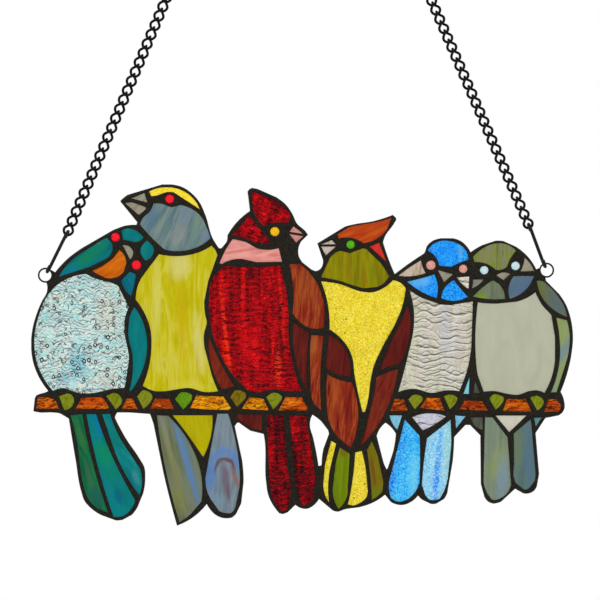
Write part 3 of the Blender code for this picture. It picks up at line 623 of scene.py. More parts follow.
    def bubbles(self, scale, share, radius):
        """Two masks for seeds trapped in the glass: their dark rims and their bright middles."""
        where = self.node("ShaderNodeSeparateXYZ", Vector=self.place(0, 1.25))
        flat = self.node("ShaderNodeCombineXYZ", X=where.outputs["X"], Y=where.outputs["Z"])
        cells = self.node("ShaderNodeTexVoronoi", [("voronoi_dimensions", "2D")],
                          Vector=flat.outputs["Vector"], Scale=scale)
        chance = self.node("ShaderNodeSeparateColor", Color=cells.outputs["Color"])
        chosen = self.maths("LESS_THAN", chance.outputs[0], share)
        size = self.share(self.maths("ADD", chance.outputs[1], 1.0), radius)
        spread = self.maths("DIVIDE", cells.outputs["Distance"], size)
        rim = self.band(self.away(spread, 1.0), 0.6, 0.3)
        middle = self.band(spread, 0.9, 0.6)
        return self.maths("MULTIPLY", rim, chosen), self.maths("MULTIPLY", middle, chosen)

    def finish_glass(self, colour, bump, roughness, transmission):
        """The shader's values for glass, part of it see-through."""
        shader = self.shader
        self.feed(shader.inputs["Base Color"], colour)
        shader.inputs["Metallic"].default_value = 0
        shader.inputs["Roughness"].default_value = roughness
        shader.inputs["IOR"].default_value = GLASS_IOR
        shader.inputs["Specular IOR Level"].default_value = GLASS_SPECULAR
        shader.inputs["Transmission Weight"].default_value = transmission
        made = self.node("ShaderNodeBump", Height=bump, Strength=0.5, Distance=0.0004)
        self.tree.links.new(made.outputs["Normal"], shader.inputs["Normal"])
        return self.material


def sheet(name, tones, lean=0, stretch=5, scale=110, swirl=0.7, fine=0.3, clouds=(), arches=()):
    """Opalescent sheet glass, its colours drawn out into streaks."""
    made = Nodes("glass_" + name)
    broad = made.grain(lean, stretch, scale, 3, swirl)
    threads = made.grain(lean, stretch * 2.5, scale * 4.5, 3, 0.2, (0.1, 0, 0.2))
    fac = made.sum_of((broad, 1 - fine), (threads, fine))
    colour = made.clouded(made.tones(fac, tones), clouds)
    for pixel, size, width, tone in arches:
        colour = made.paint(colour, made.arch(pixel, size, width), 0.9, tone)
    return made.finish_glass(colour, made.noise(made.place(lean, 2.5), 160, 2), 0.12, 0.35)


def granite(name, tones, scale=520, swirl=1.2, clouds=(), specks=None):
    """Sheet glass with a fine granular back."""
    made = Nodes("glass_" + name)
    grain = made.grain(0, 1, scale, 2, swirl)
    broad = made.grain(0, 2, 90, 2, 0.5)
    colour = made.clouded(made.tones(made.sum_of((grain, 0.78), (broad, 0.22)), tones), clouds)
    curls = made.noise(made.place(0, 1, (0.2, 0, 0.1)), scale * 0.62, 1, 0.5, swirl)
    glint = made.band(made.away(curls, 0.5), 0.055, 0.015)
    colour = made.paint(colour, glint, 0.8, tones[-1])
    if specks:
        rims, middles = made.bubbles(110, 0.2, 0.035)
        colour = made.paint(colour, made.maths("MAXIMUM", rims, middles), 0.7, specks)
    return made.finish_glass(colour, grain, 0.2, 0.25)


def ruby(name, highlight_streaks=(), lean=0, depth=0.0, waving=0.12):
    """Hammered red glass: dark ripples across it with painted highlight lines beside them, and painted
    highlight streaks down it.
    """
    made = Nodes("glass_" + name)
    ripple = made.grain(90 + lean, 3.6, 330, 3, 1.4)
    drape = made.grain(lean, 7, 125, 3, 0.35, (0.17, 0, 0))
    mesh = made.grain(lean, 1, 620, 1, 0.8)
    fac = made.sum_of((ripple, 0.36), (drape, 0.36), (mesh, 0.28))
    colour = made.tones(made.band(fac, 0.22 + depth, 0.9 + depth), [
        (34, 0, 6), (78, 0, 8), (126, 0, 10), (174, 0, 12), (216, 2, 16), (250, 44, 22)])
    dark, highlight_lines = made.waves(5.4, 3.0, 70, 0.3, 0.7)
    colour = made.paint(colour, dark, waving * 1.6, (56, 0, 8))
    # painted highlight: light red lines just above the dark ripples
    colour = made.paint(colour, highlight_lines, waving, (248, 14, 16))
    # painted highlight: bright streaks down the glass, shown where the ripple grain is high
    for highlight_streak in highlight_streaks:
        highlight_mask = made.maths("MULTIPLY", made.cloud(highlight_streak), made.band(ripple, 0.2, 0.7))
        colour = made.blend(highlight_mask, colour, linear(highlight_streak.tone))
    return made.finish_glass(colour, ripple, 0.15, 0.3)


def rippled(name, tones, line, clouds=()):
    """Pale glass crossed by long dark waves, with a fine frosting."""
    made = Nodes("glass_" + name)
    frost = made.grain(0, 1, 560, 2, 0.8)
    bands = made.grain(3, 6, 120, 2, 0.6)
    colour = made.clouded(made.tones(made.sum_of((frost, 0.6), (bands, 0.4)), tones), clouds)
    for spacing, wander, scale, shift, part in ((7.4, 3.0, 44, 0.0, 0.95), (5.4, 4.0, 62, 0.4, 0.6)):
        dark, highlight_lines = made.waves(spacing, wander, scale, 0.17, shift)
        # painted highlight: near-white lines just above the dark waves
        colour = made.paint(colour, highlight_lines, part * 0.7, (250, 248, 240))
        colour = made.paint(colour, dark, part, line)
    return made.finish_glass(colour, dark, 0.12, 0.35)


def seedy(name, tones, line, clouds):
    """Clear rippled glass, full of dark curls and round seeds."""
    made = Nodes("glass_" + name)
    colour = made.tones(made.grain(84, 2.2, 190, 4, 1.0), tones)
    colour = made.clouded(colour, clouds)
    for spacing, wander, scale, shift, part in ((4.2, 4.6, 110, 0.0, 1.0), (5.6, 5.4, 96, 0.3, 1.0),
                                                (3.4, 4.2, 160, 0.6, 0.45)):
        dark, highlight_lines = made.waves(spacing, wander, scale, 0.23, shift, 1.4)
        # painted highlight: white lines just above the dark curls
        colour = made.paint(colour, highlight_lines, 0.8, (250, 254, 250))
        colour = made.paint(colour, dark, part, line)
    rims, middles = made.bubbles(175, 0.26, 0.12)
    colour = made.paint(colour, middles, 0.75, (236, 244, 242))
    colour = made.paint(colour, rims, 0.9, line)
    return made.finish_glass(colour, made.noise(made.place(86, 2), 240, 2), 0.1, 0.6)


def wooden(name, tones, dark):
    """Orange glass with dark wavering grain along the branch."""
    made = Nodes("glass_" + name)
    colour = made.tones(made.grain(86, 3.5, 200, 3, 0.8), tones)
    for scale, shift in ((280, 0.2), (460, 0.5)):
        lines = made.grain(84, 3.4, scale, 3, 2.0, (shift, 0, 0.1))
        colour = made.paint(colour, made.band(lines, 0.5, 0.85), 0.9, dark)
    return made.finish_glass(colour, lines, 0.15, 0.3)


def nugget(name, tones):
    """The even glass of an eye, a little mottled."""
    made = Nodes("glass_" + name)
    made.shader.inputs["Coat Weight"].default_value = 0.2
    colour = made.tones(made.grain(0, 1, 480, 2, 0.6), tones)
    return made.finish_glass(colour, made.grain(0, 1, 300), 0.06, 0.5)


def teal_and_yellow_glasses():
    """The glasses of the teal bird and of the yellow bird behind it."""
    sheet("teal", [(0, 98, 108), (0, 116, 120), (0, 126, 128), (6, 134, 122)], 4, 6, 130)
    sheet("teal_back", [(0, 92, 104), (0, 112, 116), (0, 120, 126), (8, 128, 122)], 57, 6, 150, clouds=[
        Cloud((88, 257), (6, 30), (10, 132, 84), 52), Cloud((70, 271), (4, 14), (0, 120, 150), 57)])
    sheet("teal_blue", [(0, 84, 112), (0, 100, 124), (0, 112, 130), (6, 124, 118)], -20, 4, 140)
    sheet("teal_tail", [(0, 114, 110), (0, 124, 122), (0, 130, 138), (0, 136, 106)], -14, 4, 100, clouds=[
        Cloud((104, 455), (10, 16), (4, 140, 92), -20), Cloud((100, 425), (6, 16), (0, 124, 168), -22),
        Cloud((112, 474), (8, 8), (0, 130, 96), -20, 0.6), Cloud((119, 496), (5, 10), (0, 100, 128), -20)])
    sheet("teal_tail_right", [(0, 108, 118), (0, 122, 126), (10, 132, 134), (40, 150, 148)], -30, 4, 110,
          clouds=[
              Cloud((136, 477), (4, 9), (70, 146, 156), -20, 0.55),
              Cloud((116, 438), (4, 12), (0, 124, 104), -24, 0.6)])
    sheet("green_tail", [(6, 84, 58), (14, 104, 66), (20, 118, 72), (58, 124, 62)], -17, 5, 130, clouds=[
        Cloud((81, 436), (3.4, 18), (56, 126, 58), -16, 0.6),
        Cloud((90, 478), (3, 20), (62, 102, 72), -16, 0.6), Cloud((96, 497), (9, 12), (26, 96, 84), -16)])
    sheet("amber_cheek", [(176, 78, 0), (196, 92, 2), (212, 108, 6), (224, 130, 20)], 62, 4, 130)
    seedy("seedy", [(214, 222, 200), (230, 244, 234), (198, 240, 236), (148, 224, 226), (238, 250, 246)],
          (20, 36, 32), [
              Cloud((78, 362), (11, 20), (62, 190, 216), 0, 0.75),
              Cloud((62, 378), (12, 8), (66, 186, 208), 0, 0.65),
              Cloud((56, 316), (16, 8), (140, 208, 214), 0, 0.5),
              Cloud((84, 282), (20, 8), (140, 204, 206), 0, 0.5),
              Cloud((108, 312), (14, 24), (218, 212, 184), 0, 0.55),
              Cloud((108, 380), (12, 12), (204, 196, 178), 0, 0.5)])
    sheet("slate", [(74, 102, 124), (92, 120, 130), (108, 134, 132), (124, 144, 136), (138, 144, 148)], 26,
          6, 170, fine=0.4, clouds=[
              Cloud((178, 236), (10, 16), (154, 152, 150), 20, 0.45),
              Cloud((186, 214), (8, 12), (122, 138, 158), 20, 0.6),
              Cloud((150, 217), (6, 14), (84, 116, 150), 24, 0.6),
              Cloud((196, 222), (4, 22), (120, 146, 124), 14, 0.6),
              Cloud((206, 236), (7, 8), (120, 136, 160), 14, 0.6)])
    sheet("yellow_body", [(180, 170, 0), (194, 184, 4), (204, 194, 28), (210, 202, 74), (200, 174, 16)],
          1, 6, 90, 1.9, clouds=[
              Cloud((180, 266), (12, 16), (216, 208, 124), 0, 0.75),
              Cloud((182, 322), (7, 46), (204, 176, 8), -4, 0.55),
              Cloud((157, 300), (5, 44), (214, 208, 104), 0, 0.6),
              Cloud((199, 345), (6, 34), (218, 208, 128), -6, 0.6),
              Cloud((190, 388), (24, 8), (212, 206, 60), 0, 0.5)])
    sheet("olive_tail", [(88, 100, 78), (110, 118, 86), (120, 130, 106), (104, 122, 120)], -12, 7, 110,
          clouds=[
              Cloud((186, 456), (6, 60), (100, 132, 156), -17, 0.7),
              Cloud((181, 444), (2.4, 34), (94, 138, 186), -16, 0.6),
              Cloud((190, 474), (2.4, 44), (88, 130, 188), -15, 0.7),
              Cloud((165, 432), (3, 26), (140, 142, 150), -14, 0.6),
              Cloud((172, 460), (4, 50), (136, 136, 80), -16, 0.6),
              Cloud((178, 500), (7, 18), (132, 134, 66), -12, 0.6)])
    sheet("mustard", [(162, 150, 0), (178, 168, 0), (188, 180, 0), (176, 152, 0)], -4, 7, 130)
    sheet("opal_tail", [(102, 122, 134), (116, 134, 146), (132, 148, 156), (126, 136, 158)], 3, 5, 90, 1.2,
          clouds=[
              Cloud((209, 476), (8, 17), (84, 128, 186), 0, 0.75),
              Cloud((216, 500), (8, 9), (120, 152, 172), 0, 0.6),
              Cloud((226, 481), (5, 21), (114, 96, 114), -7, 0.85),
              Cloud((228, 492), (2, 11), (110, 84, 104), -5, 0.7),
              Cloud((235, 477), (2.6, 13), (150, 104, 90), -20, 0.85)],
          arches=[((224.5, 469), (13, 18), 0.4, (92, 134, 194)),
                  ((225, 471), (9.5, 12), 0.26, (96, 56, 72))])
    granite("bright_yellow", [(232, 190, 0), (246, 212, 6), (252, 224, 30), (254, 240, 110)], 480)


def red_and_crested_glasses():
    """The glasses of the red bird and of the crested bird."""
    ruby("ruby", lean=24, depth=0.01)
    ruby("ruby_tail", lean=-6, depth=0.1)
    # the tall orange-red clouds below are the breast's painted highlight streaks
    ruby("ruby_breast", [
        Cloud((225, 330), (2.2, 46), (255, 50, 10), -7, 1.0),
        Cloud((227, 358), (4, 20), (255, 44, 12), -10, 0.8),
        Cloud((243, 282), (2.4, 30), (246, 24, 16), 0, 0.7),
        Cloud((282, 312), (2.4, 46), (250, 36, 18), -4, 0.7),
        Cloud((278, 368), (4, 22), (255, 60, 20), 0, 0.8),
        Cloud((250, 345), (12, 22), (226, 10, 18), 0, 0.5)], depth=-0.04, waving=0.3)
    sheet("pink", [(200, 116, 106), (220, 138, 130), (232, 158, 148), (240, 176, 164)], 82, 4, 170, 1.0)
    sheet("pink_beak", [(196, 128, 122), (212, 146, 138), (222, 160, 152)], 60, 3, 180)
    sheet("maroon", [(72, 16, 12), (88, 20, 16), (104, 28, 20), (116, 36, 24)], 6, 6, 120, 1.0)
    sheet("rust", [(92, 16, 12), (126, 30, 14), (146, 46, 20), (172, 80, 32), (132, 34, 16)], 5, 6, 140, 1.8,
          fine=0.45, clouds=[
              Cloud((304, 285), (9, 22), (166, 88, 38), 14, 0.35),
              Cloud((315, 300), (4, 26), (164, 88, 38), -10, 0.35),
              Cloud((313, 345), (5, 13), (172, 96, 44), 4, 0.7),
              Cloud((336, 384), (6, 30), (180, 88, 36), 0, 0.4)])
    sheet("rust_dark", [(90, 20, 14), (110, 28, 18), (126, 40, 22), (148, 62, 30)], 18, 6, 140, 1.3,
          clouds=[
              Cloud((377, 368), (6, 12), (166, 84, 46), 14, 0.7)])
    sheet("flame", [(146, 38, 12), (176, 58, 16), (194, 76, 20), (208, 100, 32)], 62, 6, 130, 1.2, fine=0.4)
    sheet("bright_red", [(202, 44, 38), (214, 52, 44), (226, 66, 50)], 14, 5, 160)
    sheet("olive", [(98, 92, 0), (120, 114, 0), (140, 134, 0), (154, 146, 0), (134, 98, 0)], 0, 9, 160,
          0.5, fine=0.45, clouds=[
              Cloud((348, 268), (2.4, 16), (146, 112, 10), 0, 0.75),
              Cloud((364, 280), (2.4, 16), (142, 104, 8), 0, 0.7),
              Cloud((372, 276), (3, 14), (116, 128, 0), 0, 0.6)])
    sheet("green_feather", [(96, 116, 0), (108, 130, 0), (120, 142, 6), (126, 138, 20)], 4, 8, 130, clouds=[
        Cloud((344, 452), (5, 6), (120, 92, 20), 0, 0.7)])
    sheet("olive_feather", [(106, 92, 6), (116, 106, 4), (122, 118, 10), (128, 84, 20)], -6, 8, 130,
          clouds=[
              Cloud((373, 470), (2.4, 22), (126, 68, 20), -8, 0.7),
              Cloud((376, 495), (7, 10), (108, 124, 6), -8, 0.7)])
    granite("yellow_granite", [(182, 142, 0), (218, 186, 0), (242, 218, 4), (255, 252, 120)], 450, 2.2,
            specks=(84, 62, 6))


def blue_and_olive_glasses():
    """The glasses of the blue bird and of the olive bird."""
    granite("blue_granite", [(0, 86, 200), (0, 122, 238), (0, 152, 254), (72, 196, 255)], 460, 1.8, clouds=[
        Cloud((420, 280), (12, 9), (126, 200, 240), 0, 0.55),
        Cloud((460, 250), (3, 14), (104, 186, 214), 0, 0.6)])
    granite("blue_feather", [(0, 126, 232), (0, 158, 244), (30, 184, 246), (130, 228, 252)], 520, 1.5,
            clouds=[
                Cloud((392, 480), (5, 26), (0, 112, 232), 8, 0.8),
                Cloud((402, 440), (5, 26), (6, 124, 232), 4, 0.6),
                Cloud((413, 478), (5, 28), (112, 208, 238), 4, 0.7)])
    granite("sky_feather", [(40, 160, 232), (88, 190, 238), (140, 212, 238), (214, 242, 248)], 560, 1.4,
            clouds=[
                Cloud((440, 444), (2.2, 26), (20, 152, 238), 3, 0.7),
                Cloud((436, 482), (3.8, 36), (0, 142, 240), 5, 1.0),
                Cloud((447, 450), (4.5, 46), (146, 208, 206), 4, 0.7)])
    sheet("sky", [(96, 172, 214), (128, 196, 224), (156, 212, 228), (188, 224, 230)], 16, 4, 170)
    sheet("cyan", [(110, 200, 220), (140, 214, 226), (170, 224, 228)], 12, 5, 160)
    rippled("pearl", [(168, 164, 138), (194, 190, 168), (216, 212, 194), (238, 235, 224)], (44, 42, 48),
            clouds=[
                Cloud((445, 325), (7, 60), (190, 192, 210), -3, 0.5),
                Cloud((424, 350), (4, 40), (222, 204, 204), 10, 0.55),
                Cloud((412, 325), (5, 40), (214, 212, 184), 6, 0.5),
                Cloud((458, 330), (4, 44), (212, 200, 204), 0, 0.5)])
    rippled("lilac", [(166, 164, 176), (192, 192, 204), (214, 214, 226), (236, 236, 242)], (38, 34, 60))
    sheet("milk", [(181, 182, 159), (187, 188, 166), (191, 192, 172)], 0, 3, 60, fine=0.15)
    sheet("cream", [(196, 193, 174), (206, 203, 186), (214, 211, 196)], 0, 3, 60, fine=0.2)
    sheet("moss", [(86, 104, 96), (108, 118, 76), (128, 142, 44), (140, 134, 112), (104, 116, 60),
                   (142, 146, 92)], 2, 8, 190, 0.6, fine=0.35)
    sheet("moss_throat", [(92, 106, 84), (112, 122, 96), (126, 134, 110), (116, 128, 78)], 4, 7, 150, 0.5,
          fine=0.4, clouds=[Cloud((480, 300), (7, 10), (126, 156, 16), 30, 0.95)])
    sheet("dusk", [(74, 100, 120), (92, 114, 132), (104, 122, 128), (120, 130, 114)], 34, 6, 140, clouds=[
        Cloud((522, 286), (8, 20), (74, 104, 146), 38, 0.6)])
    sheet("dusk_tail", [(84, 110, 108), (92, 118, 116), (102, 124, 120), (98, 118, 88)], 4, 7, 130, clouds=[
        Cloud((529, 455), (7, 34), (76, 114, 142), 0, 0.6),
        Cloud((518, 446), (5, 26), (114, 128, 88), 0, 0.6)])
    sheet("sage", [(104, 128, 110), (120, 136, 112), (128, 146, 130), (140, 150, 108)], 0, 7, 120, clouds=[
        Cloud((497, 462), (10, 22), (146, 156, 96), 20, 0.6),
        Cloud((502, 478), (7, 26), (126, 150, 172), 0, 0.6),
        Cloud((490, 430), (9, 26), (128, 142, 118), 0, 0.5)])
    sheet("wing_upper", [(92, 102, 82), (104, 112, 84), (112, 122, 92), (96, 112, 124)], -40, 6, 140,
          clouds=[
              Cloud((541, 290), (7, 20), (108, 118, 60), -36, 0.7),
              Cloud((556, 304), (7, 18), (84, 104, 120), -34, 0.6)])
    sheet("wing_lower", [(118, 138, 112), (138, 156, 104), (148, 164, 108), (120, 146, 140)], 20, 5, 120,
          clouds=[
              Cloud((557, 330), (6, 24), (152, 164, 84), -4, 0.75),
              Cloud((562, 352), (7, 18), (110, 138, 164), 34, 0.6),
              Cloud((548, 382), (7, 22), (122, 152, 156), 16, 0.8)])
    sheet("sea", [(74, 122, 134), (96, 142, 150), (120, 156, 140)], 20, 4, 170)
    sheet("tan_beak", [(132, 96, 70), (176, 148, 126), (204, 186, 168), (218, 204, 190), (146, 106, 80)],
          8, 6, 210, 1.0, fine=0.4)
    sheet("grey_beak", [(132, 126, 106), (150, 144, 124), (166, 160, 140), (142, 142, 128)], 50, 4, 170)
    sheet("grey", [(122, 120, 106), (140, 138, 124), (152, 150, 138)], 50, 4, 170)
    sheet("smoke", [(66, 68, 58), (84, 86, 74), (104, 104, 92)], 10, 4, 170)


def branch_and_eye_glasses():
    """The glasses of the branch, the feet and the eyes."""
    wooden("bark", [(196, 70, 0), (216, 90, 2), (232, 114, 8), (242, 140, 28)], (78, 20, 0))
    wooden("bark_red", [(150, 44, 0), (180, 62, 2), (204, 84, 6), (222, 112, 24)], (52, 14, 2))
    wooden("bark_yellow", [(226, 122, 0), (240, 150, 0), (248, 176, 8), (254, 200, 36)], (108, 44, 0))
    sheet("foot", [(88, 100, 0), (116, 130, 2), (142, 150, 34), (122, 98, 4)], 30, 2.5, 210, 1.6)
    sheet("foot_green", [(72, 120, 0), (98, 150, 4), (122, 160, 34)], 30, 2.5, 210, 1.6)
    sheet("foot_brown", [(98, 72, 0), (124, 106, 6), (150, 134, 22)], 30, 2.5, 210, 1.6)
    nugget("eye_red", [(246, 0, 34), (254, 6, 40), (255, 30, 50)])
    nugget("eye_amber", [(236, 172, 0), (250, 196, 0), (254, 214, 40)])
    nugget("eye_green", [(62, 164, 0), (86, 186, 4), (110, 200, 30)])
    nugget("eye_pink", [(214, 138, 122), (228, 164, 148), (238, 188, 172)])
    nugget("eye_pale", [(178, 216, 226), (206, 232, 238), (226, 242, 244)])


def patina(name, tones, scale):
    """Dark patina on metal, mottled."""
    made = Nodes(name)
    mottle = made.grain(0, 1, scale, 3, 0.3)
    made.feed(made.shader.inputs["Base Color"], made.tones(mottle, tones))
    made.shader.inputs["Metallic"].default_value = 0.0
    made.shader.inputs["Roughness"].default_value = 0.42
    made.shader.inputs["Specular IOR Level"].default_value = METAL_SPECULAR
    bump = made.node("ShaderNodeBump", Height=mottle, Strength=0.4, Distance=0.0002)
    made.tree.links.new(bump.outputs["Normal"], made.shader.inputs["Normal"])
    return made.material


teal_and_yellow_glasses()
red_and_crested_glasses()
blue_and_olive_glasses()
branch_and_eye_glasses()
lead_metal = patina("lead_patina", [(14, 12, 7), (26, 23, 16), (38, 34, 26)], 700)
hook_metal = patina("hook_patina", [(12, 11, 9), (24, 22, 19), (38, 36, 32)], 900)
chain_metal = patina("chain_black", [(2, 2, 2), (5, 5, 5), (9, 9, 9)], 900)


# The leading

def bead(distance, radius, low, high):
    """Half the lead's thickness at a distance from its edge."""
    reach = min(distance / radius, 1)
    return low + (high - low) * math.sqrt(1 - (1 - reach) ** 2)


def make_leading():
    """The whole leading: a slab that is rounded towards the glass, the gaps and its outer edge."""
    outlines = [edge_loop] + [moved_in(loop, LEAD_SPREAD) for loop in hole_loops]
    open_tree = tree_of(np.vstack([dense(edge_loop)] + [dense(outlines[i + 1]) for i in gap_holes]))
    pane_tree = tree_of(np.vstack([dense(outlines[i + 1]) for i in hole_names]))
    extra = []
    for outline in outlines:
        turned = outline if area_of(outline) > 0 else outline[::-1]
        outward = outline is not edge_loop
        for distance, share in LEAD_ROWS:
            row = offset_row(turned if outward else turned[::-1], distance)
            for x, z in row:
                if min(gap_to(open_tree, x, z), gap_to(pane_tree, x, z)) > distance * share:
                    extra.append((x, z))
    row_tree = tree_of(extra)

    def in_lead(line, z):
        level = np.full(len(line), z)
        ok = inside(edge_loop, line, level)
        for hole in outlines[1:]:
            if hole[:, 1].min() < z < hole[:, 1].max():
                ok &= ~inside(hole, line, level)
        return ok

    fill = []
    for x, z in staggered(edge_loop.min(axis=0), edge_loop.max(axis=0), LEAD_FILL_STEP, in_lead):
        if min(gap_to(open_tree, x, z), gap_to(pane_tree, x, z)) > LEAD_FILL_GAP:
            if gap_to(row_tree, x, z) > LEAD_ROW_GAP:
                fill.append((x, z))
    flat, faces = triangles_within(outlines, extra + fill)
    heights = {}
    for i in {i for face in faces for i in face}:
        x, z = flat[i]
        rim = bead(gap_to(open_tree, x, z), RIM_RADIUS, RIM_HALF, LEAD_HALF)
        wall = bead(gap_to(pane_tree, x, z), BEAD_RADIUS, GLASS_HALF + LEAD_LIP, LEAD_HALF)
        sway = noise.noise(Vector((x * 160, 0, z * 160))) + 0.6 * noise.noise(Vector((x * 420, 3, z * 420)))
        fade = min(1, gap_to(pane_tree, x, z) / LEAD_SWAY_REACH)
        heights[i] = max(min(rim, wall) - LEAD_SWAY * (0.6 + sway) * fade, LEAD_THINNEST)
    mesh, _, _ = slab("leading_solder", flat, faces, heights)
    return add_piece("leading_solder", mesh, lead_metal, ["leading"])


# The glass

def make_pane(index):
    """The glass in one opening, its edges tucked into the lead."""
    name = hole_names[index]
    kind = hole_glass[index]
    outline = hole_loops[index]
    middle = outline.mean(axis=0)
    pane = moved_in(outline, -GLASS_TUCK)
    if kind.startswith("eye"):
        return make_eye(name, kind, middle, np.linalg.norm(pane - middle, axis=1).min())
    tree = tree_of(dense(pane))
    rows = staggered(pane.min(axis=0) + GLASS_MARGIN, pane.max(axis=0), GLASS_FILL_STEP,
                     lambda line, z: inside(pane, line, np.full(len(line), z)))
    fill = [(x, z) for x, z in rows if gap_to(tree, x, z) > GLASS_FILL_GAP]
    flat, faces = triangles_within([pane], fill)
    heights = {}
    for i in {i for face in faces for i in face}:
        x, z = flat[i]
        heights[i] = GLASS_HALF - GLASS_DIP + GLASS_SWELL * noise.noise(Vector((x * 130, 7, z * 130)))
    mesh, rim, count = slab("glass_" + name, flat, faces, heights)
    sharpen(mesh, rim, count)
    replaced = [name] if name in NODE_GLASS else []
    return add_piece("glass_" + name, mesh, bpy.data.materials["glass_" + kind], replaced)


def make_eye(name, kind, middle, radius):
    """A round glass nugget, domed at the front and nearly flat behind."""
    sides = EYE_SIDES
    rings = [(share, -EYE_SEAT - EYE_RISE * rise) for share, rise in EYE_FRONT_RINGS] + list(EYE_BACK_RINGS)
    verts = [(middle[0], -EYE_FRONT, middle[1])]
    for share, y in rings:
        for k in range(sides):
            turn = 2 * math.pi * k / sides
            reach = radius * share
            verts.append((middle[0] + reach * math.cos(turn), y, middle[1] + reach * math.sin(turn)))
    verts.append((middle[0], EYE_BACK, middle[1]))
    faces = [(0, 1 + k, 1 + (k + 1) % sides) for k in range(sides)]
    for ring in range(len(rings) - 1):
        a = 1 + ring * sides
        b = a + sides
        faces += [(a + k, b + k, b + (k + 1) % sides, a + (k + 1) % sides) for k in range(sides)]
    last = len(verts) - 1
    a = last - sides
    faces += [(last, a + (k + 1) % sides, a + k) for k in range(sides)]
    mesh = bpy.data.meshes.new("glass_" + name)
    mesh.from_pydata(verts, [], faces)
    mesh.shade_smooth()
    return add_piece("glass_" + name, mesh, bpy.data.materials["glass_" + kind])


# Wires

def tube(path, radii, sides, closed):
    """Vertices and faces of a round wire along a path, closed with flat caps where it is open."""
    count = len(path)
    tangents = []
    for i in range(count):
        before = path[i - 1] if closed or i else path[0]
        after = path[(i + 1) % count] if closed or i < count - 1 else path[-1]
        tangents.append((after - before).normalized())
    side = tangents[0].orthogonal().normalized()
    sides_at = [side]
    for a, b in zip(tangents, tangents[1:]):
        side = a.rotation_difference(b) @ side
        sides_at.append((side - b * side.dot(b)).normalized())
    if closed:
        back = tangents[-1].rotation_difference(tangents[0]) @ sides_at[-1]
        twist = math.atan2(tangents[0].cross(back).dot(sides_at[0]) * -1, back.dot(sides_at[0]))
        sides_at = [Matrix.Rotation(-twist * i / count, 3, tangents[i]) @ s for i, s in enumerate(sides_at)]
    verts = []
    faces = []
    for place, tangent, out, radius in zip(path, tangents, sides_at, radii):
        other = tangent.cross(out)
        for k in range(sides):
            turn = 2 * math.pi * k / sides
            verts.append(place + (out * math.cos(turn) + other * math.sin(turn)) * radius)
    for i in range(count if closed else count - 1):
        a, b = i * sides, ((i + 1) % count) * sides
        for k in range(sides):
            faces.append((a + k, a + (k + 1) % sides, b + (k + 1) % sides, b + k))
    if not closed:
        faces.append(tuple(range(sides - 1, -1, -1)))
        faces.append(tuple((count - 1) * sides + k for k in range(sides)))
    return verts, faces


def rounded_ends(path, radius):
    """The path and radii of a wire whose ends are rounded off."""
    first = (path[0] - path[1]).normalized()
    last = (path[-1] - path[-2]).normalized()
    steps = [math.radians(a) for a in (80, 60, 40, 20)]
    start = [path[0] + first * radius * (math.sin(a) - 0.75) for a in steps]
    end = [path[-1] + last * radius * (math.sin(a) - 0.75) for a in reversed(steps)]
    curve = [math.cos(a) * radius for a in steps]
    return start + path[1:-1] + end, curve + [radius] * (len(path) - 2) + curve[::-1]


def wire_mesh(name, tubes):
    """One smooth mesh of some tubes."""
    verts, faces = [], []
    for some_verts, some_faces in tubes:
        shift = len(verts)
        verts += some_verts
        faces += [tuple(i + shift for i in face) for face in some_faces]
    mesh = bpy.data.meshes.new(name)
    mesh.from_pydata([tuple(v) for v in verts], [], faces)
    mesh.shade_smooth()
    return mesh


def make_hook(node, wire, span, radius):
    """An S-hook: two round eyes with their middles a span apart, and a straight part between them."""
    lean = lean_of(node)
    along = Vector((math.sin(lean), 0, math.cos(lean)))
    middle = box_middle(node)
    across = Vector((0, 1, 0))
    start = middle - along * span / 2
    tangent = math.acos(2 * radius / span)
    turns = [tangent + HOOK_SWEEP * k / HOOK_STEPS for k in range(HOOK_STEPS, -1, -1)]
    loop = [(radius * math.cos(turn), radius * math.sin(turn)) for turn in turns]
    half = [start + along * u + across * v for u, v in loop]
    other = [2 * middle - point for point in reversed(half)]
    straight = [half[-1].lerp(other[0], f) for f in (0.25, 0.5, 0.75)]
    path, radii = rounded_ends(half + straight + other, wire / 2)
    mesh = wire_mesh(node + "_wire", [tube(path, radii, HOOK_SIDES, False)])
    add_piece(node + "_wire", mesh, hook_metal, [node])


def make_ring(node):
    middle = box_middle(node)
    radius = (RING_DIAMETER - RING_WIRE) / 2
    path = [middle + Vector((math.cos(a), 0, math.sin(a))) * radius
            for a in (2 * math.pi * k / RING_POINTS for k in range(RING_POINTS))]
    mesh = wire_mesh(node + "_wire", [tube(path, [RING_WIRE / 2] * RING_POINTS, RING_SIDES, True)])
    add_piece(node + "_wire", mesh, lead_metal, [node])


def link_points(origin, along, side, last):
    """One curb link: its lower end lies flat to the view, and it twists until its upper end is edge-on."""
    half_length = (LINK_PITCH + LINK_WIRE) / 2
    half_width = (LINK_WIDTH - LINK_WIRE) / 2
    points = []
    for k in range(LINK_POINTS):
        around = 2 * math.pi * k / LINK_POINTS
        up = -math.cos(around)
        twist = 0 if last else max(0, (up + LINK_TWIST_START) / (1 + LINK_TWIST_START))
        turn = math.radians(90) * twist * twist * (3 - 2 * twist)
        flat = side * math.cos(turn) + Vector((0, 1, 0)) * math.sin(turn)
        points.append(origin + along * half_length * up + flat * half_width * math.sin(around))
    return points


